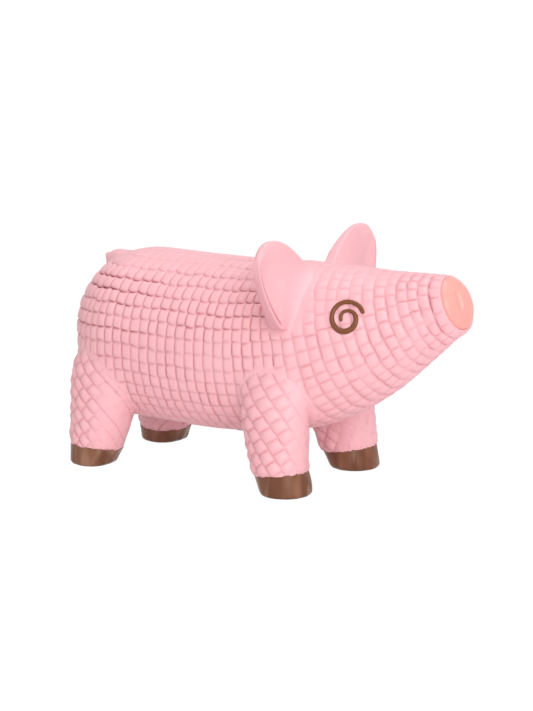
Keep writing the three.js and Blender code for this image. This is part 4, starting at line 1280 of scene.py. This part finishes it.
# Polyester staple: white and matt, with a soft sheen. The staple is 0.03 mm thick, too fine to show, so its
# strands are drawn about thirty times coarser.
polyester = clouded(
    "polyester_staple_teased", TUFT, 4.0, ("#e4e2dc", "#f6f5f1"), (0.5, 0.5), Roughness=0.95, Sheen_Weight=0.4
)
tree = polyester.node_tree
tree.nodes["cloud"].inputs["Distortion"].default_value = 1.5
place = tree.nodes["place"].outputs[0]
strands = add_node(tree, "ShaderNodeTexNoise", Vector=place, Scale=1 / (0.9 * MM), Detail=3.0, Distortion=3.0)
tree.links.new(strands.outputs["Fac"], tree.nodes["bump"].inputs["Height"])
tuft_lumps = bpy.data.textures.new("tuft_lumps", "CLOUDS")
tuft_lumps.noise_scale = TUFT * MM
leg_fills = [f"leg_fill_{end_name}_{side_name}" for end_name, _ in ENDS for side_name, _ in SIDES]
for node in ("trunk_fill", "head_fill", *leg_fills):
    fill = frame["nodes"][node].copy()
    fill.data = fill.data.copy()
    fill.name = f"{node}_teased"
    fill.data.name = fill.name
    fill.data.materials.clear()
    bpy.context.collection.objects.link(fill)
    bpy.context.view_layer.objects.active = fill
    fill.select_set(True)
    bpy.ops.object.mode_set(mode="EDIT")
    bpy.ops.mesh.select_all(action="SELECT")
    bpy.ops.mesh.remove_doubles(threshold=1e-6)
    bpy.ops.object.mode_set(mode="OBJECT")
    remesh = fill.modifiers.new("even_mesh", "REMESH")
    remesh.voxel_size = FILL_VOXEL * MM
    lumps = fill.modifiers.new("tufts", "DISPLACE")
    lumps.texture = tuft_lumps
    lumps.strength = -TUFT_DEPTH * MM
    lumps.mid_level = 0
    for modifier in ("even_mesh", "tufts"):
        bpy.ops.object.modifier_apply(modifier=modifier)
    bpy.ops.object.shade_smooth()
    fill.select_set(False)
    fill.data.materials.append(polyester)
    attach(fill, "toy")
    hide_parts(node)

# Squeaker bellows: a blow-moulded polyethylene bag with four pleats that stands on the belly plug. Pressed,
# it folds down on its foot and drives air through the whistle in its top.
BELLOWS_RADIUS = 15
BELLOWS_FOLD = 3
BELLOWS_WALL = 0.8
BELLOWS_PLEATS = 4
WHISTLE_MOUTH = 7.7
bellows_low, bellows_high = (np.array(corner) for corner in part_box("squeaker_bellows"))
foot = np.array([*(bellows_low + bellows_high)[:2] / 2, bellows_low[2]])
tall = (bellows_high - bellows_low)[2] / MM
pleat_z = np.linspace(BELLOWS_WALL, tall - BELLOWS_WALL, BELLOWS_PLEATS * 12 + 1)
pleat_turn = np.linspace(0, BELLOWS_PLEATS * 2 * math.pi, len(pleat_z))
pleat_r = BELLOWS_RADIUS - BELLOWS_FOLD * (0.5 + 0.5 * np.cos(pleat_turn))
lowest = BELLOWS_RADIUS - BELLOWS_FOLD
profile = [(0, 0), (lowest - 1, 0), (lowest, 0.3), *zip(pleat_r, pleat_z), (lowest - 0.3, tall - 0.2)]
profile += [(WHISTLE_MOUTH, tall), (WHISTLE_MOUTH, tall - BELLOWS_WALL)]
profile += zip(pleat_r[::-1] - BELLOWS_WALL, pleat_z[::-1])
profile += [(lowest - 1.5, BELLOWS_WALL), (0, BELLOWS_WALL)]
points = [Vector((*(foot + np.array([r, 0, z]) * MM),)) for r, z in profile]
bpy.ops.mesh.primitive_plane_add(size=0.01)
bellows = named("squeaker_bellows_pleated")
bellows.data.clear_geometry()
bellows.data.from_pydata(points, [(i, i + 1) for i in range(len(points) - 1)], [])
bpy.ops.object.mode_set(mode="EDIT")
bpy.ops.mesh.select_all(action="SELECT")
bpy.ops.mesh.spin(steps=72, angle=2 * math.pi, center=tuple(foot), axis=(0, 0, 1))
close_mesh(0.001)
smoothed(bellows, 40)
# Polyethylene: milky and waxy, a little uneven where the parison stretched.
polyethylene = clouded(
    "polyethylene_blow_moulded", 4, 2.0, ("#e6e4da", "#f1efe8"), (0.2, 0.2), Roughness=0.42, IOR=1.51
)
bellows.data.materials.append(polyethylene)
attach(bellows, "toy")
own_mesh(bellows)
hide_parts("squeaker_bellows")

# Whistle and reed: the moulded polystyrene tube in the bellows' mouth with its block and wedge, and the
# thin polyester reed that flutters between them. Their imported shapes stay, with the mould's finish.
# Polystyrene: glossy ivory, with faint flow marks along the moulding.
polystyrene = clouded(
    "polystyrene_moulded", 1.5, 2.0, ("#e9e6dc", "#f3f1ea"), (0.1, 0.05), 0.25, Roughness=0.3, IOR=1.59
)
for node in ("whistle_body", "reed_block", "reed_wedge"):
    shell = frame["nodes"][node]
    shell.data.materials.clear()
    shell.data.materials.append(polystyrene)
# Polyester film: slit from a smooth cast sheet, cool grey and glossy.
polyester_film = clouded(
    "polyester_film_slit", 1, 1.0, ("#d5dde0", "#e3e9eb"), Roughness=0.12, IOR=1.64
)
reed = frame["nodes"]["reed"]
reed.data.materials.clear()
reed.data.materials.append(polyester_film)

# Camera: at the photograph's viewing angle, a little above the toy and off its right shoulder.
AZIMUTH = math.radians(33.5)
ELEVATION = math.radians(10.8)
DISTANCE = 900
FRAME_HEIGHT = 711
FOCAL_PIXELS = 2000
SENSOR = 36
LOOKED_AT = np.array([10, 0, 52])
ASIDE = (23.2, -0.6)  # pixels from there to the picture's middle, right and up
right = np.array([math.cos(AZIMUTH), math.sin(AZIMUTH), 0])
back = np.array([
    math.cos(ELEVATION) * math.sin(AZIMUTH),
    -math.cos(ELEVATION) * math.cos(AZIMUTH),
    math.sin(ELEVATION),
])
upwards = np.cross(back, right)
pixel = DISTANCE / FOCAL_PIXELS
aim = LOOKED_AT + (right * ASIDE[0] + upwards * ASIDE[1]) * pixel
stand = LOOKED_AT + back * DISTANCE
bpy.ops.object.camera_add(location=(stand + SHIFT) * MM)
camera = bpy.context.object
camera.rotation_euler = Vector(aim - stand).to_track_quat("-Z", "Y").to_euler()
camera.data.sensor_width = SENSOR
camera.data.lens = FOCAL_PIXELS / FRAME_HEIGHT * SENSOR
camera.data.clip_start = 0.01
bpy.context.scene.camera = camera

# Studio: a white sweep lit by soft boxes, with the world white to the eye and plainer as a light.
SWEEP_GLOW = 1.08
GLOW_SHARE = 0.9  # of what the camera sees of the sweep
AMBIENT = 0.5
bpy.ops.mesh.primitive_plane_add(size=40, location=(0, 0, 0))
floor = bpy.context.object
floor.name = "floor"
white_paper, tree, shader = new_material("white_paper_sweep")
rays = add_node(tree, "ShaderNodeLightPath")
seen = add_node(
    tree,
    "ShaderNodeMath",
    {"operation": "MAXIMUM"},
    i0=rays.outputs["Is Camera Ray"],
    i1=rays.outputs["Is Glossy Ray"],
)
share = add_node(tree, "ShaderNodeMath", {"operation": "MULTIPLY"}, i0=seen.outputs[0], i1=GLOW_SHARE)
glow = add_node(tree, "ShaderNodeEmission", Color=(1, 1, 1, 1), Strength=SWEEP_GLOW)
mix = add_node(
    tree,
    "ShaderNodeMixShader",
    i0=share.outputs[0],
    i1=shader.outputs["BSDF"],
    i2=glow.outputs["Emission"],
)
tree.links.new(mix.outputs["Shader"], tree.nodes["Material Output"].inputs["Surface"])
shader.inputs["Base Color"].default_value = linear("#f3f3f3")
shader.inputs["Roughness"].default_value = 0.9
floor.data.materials.append(white_paper)

world = bpy.data.worlds.new("white_studio")
bpy.context.scene.world = world
world.use_nodes = True
tree = world.node_tree
rays = add_node(tree, "ShaderNodeLightPath")
ambient = tree.nodes["Background"]
ambient.inputs["Color"].default_value = (1, 1, 1, 1)
ambient.inputs["Strength"].default_value = AMBIENT
backdrop = add_node(tree, "ShaderNodeBackground", Color=(1, 1, 1, 1), Strength=1.0)
looks = [rays.outputs[f"Is {kind} Ray"] for kind in ("Camera", "Glossy", "Transmission")]
seen = add_node(tree, "ShaderNodeMath", {"operation": "MAXIMUM"}, i0=looks[0], i1=looks[1])
seen = add_node(tree, "ShaderNodeMath", {"operation": "MAXIMUM"}, i0=seen.outputs[0], i1=looks[2])
mix = add_node(
    tree,
    "ShaderNodeMixShader",
    i0=seen.outputs[0],
    i1=ambient.outputs["Background"],
    i2=backdrop.outputs["Background"],
)
tree.links.new(mix.outputs["Shader"], tree.nodes["World Output"].inputs["Surface"])


def soft_box(name, place, size, power):
    """A square area light at a place in metres, turned to the toy."""
    bpy.ops.object.light_add(type="AREA", location=place)
    lamp = bpy.context.object
    lamp.name = name
    lamp.data.size = size
    lamp.data.energy = power
    lamp.rotation_euler = (Vector((0, 0, 0.06)) - Vector(place)).to_track_quat("-Z", "Y").to_euler()


soft_box("key_light", (0.99, -0.91, 0.48), 1.0, 11.2)
soft_box("top_light", (0.1, 0.1, 1.2), 0.9, 6)
bpy.context.scene.view_settings.view_transform = "Standard"
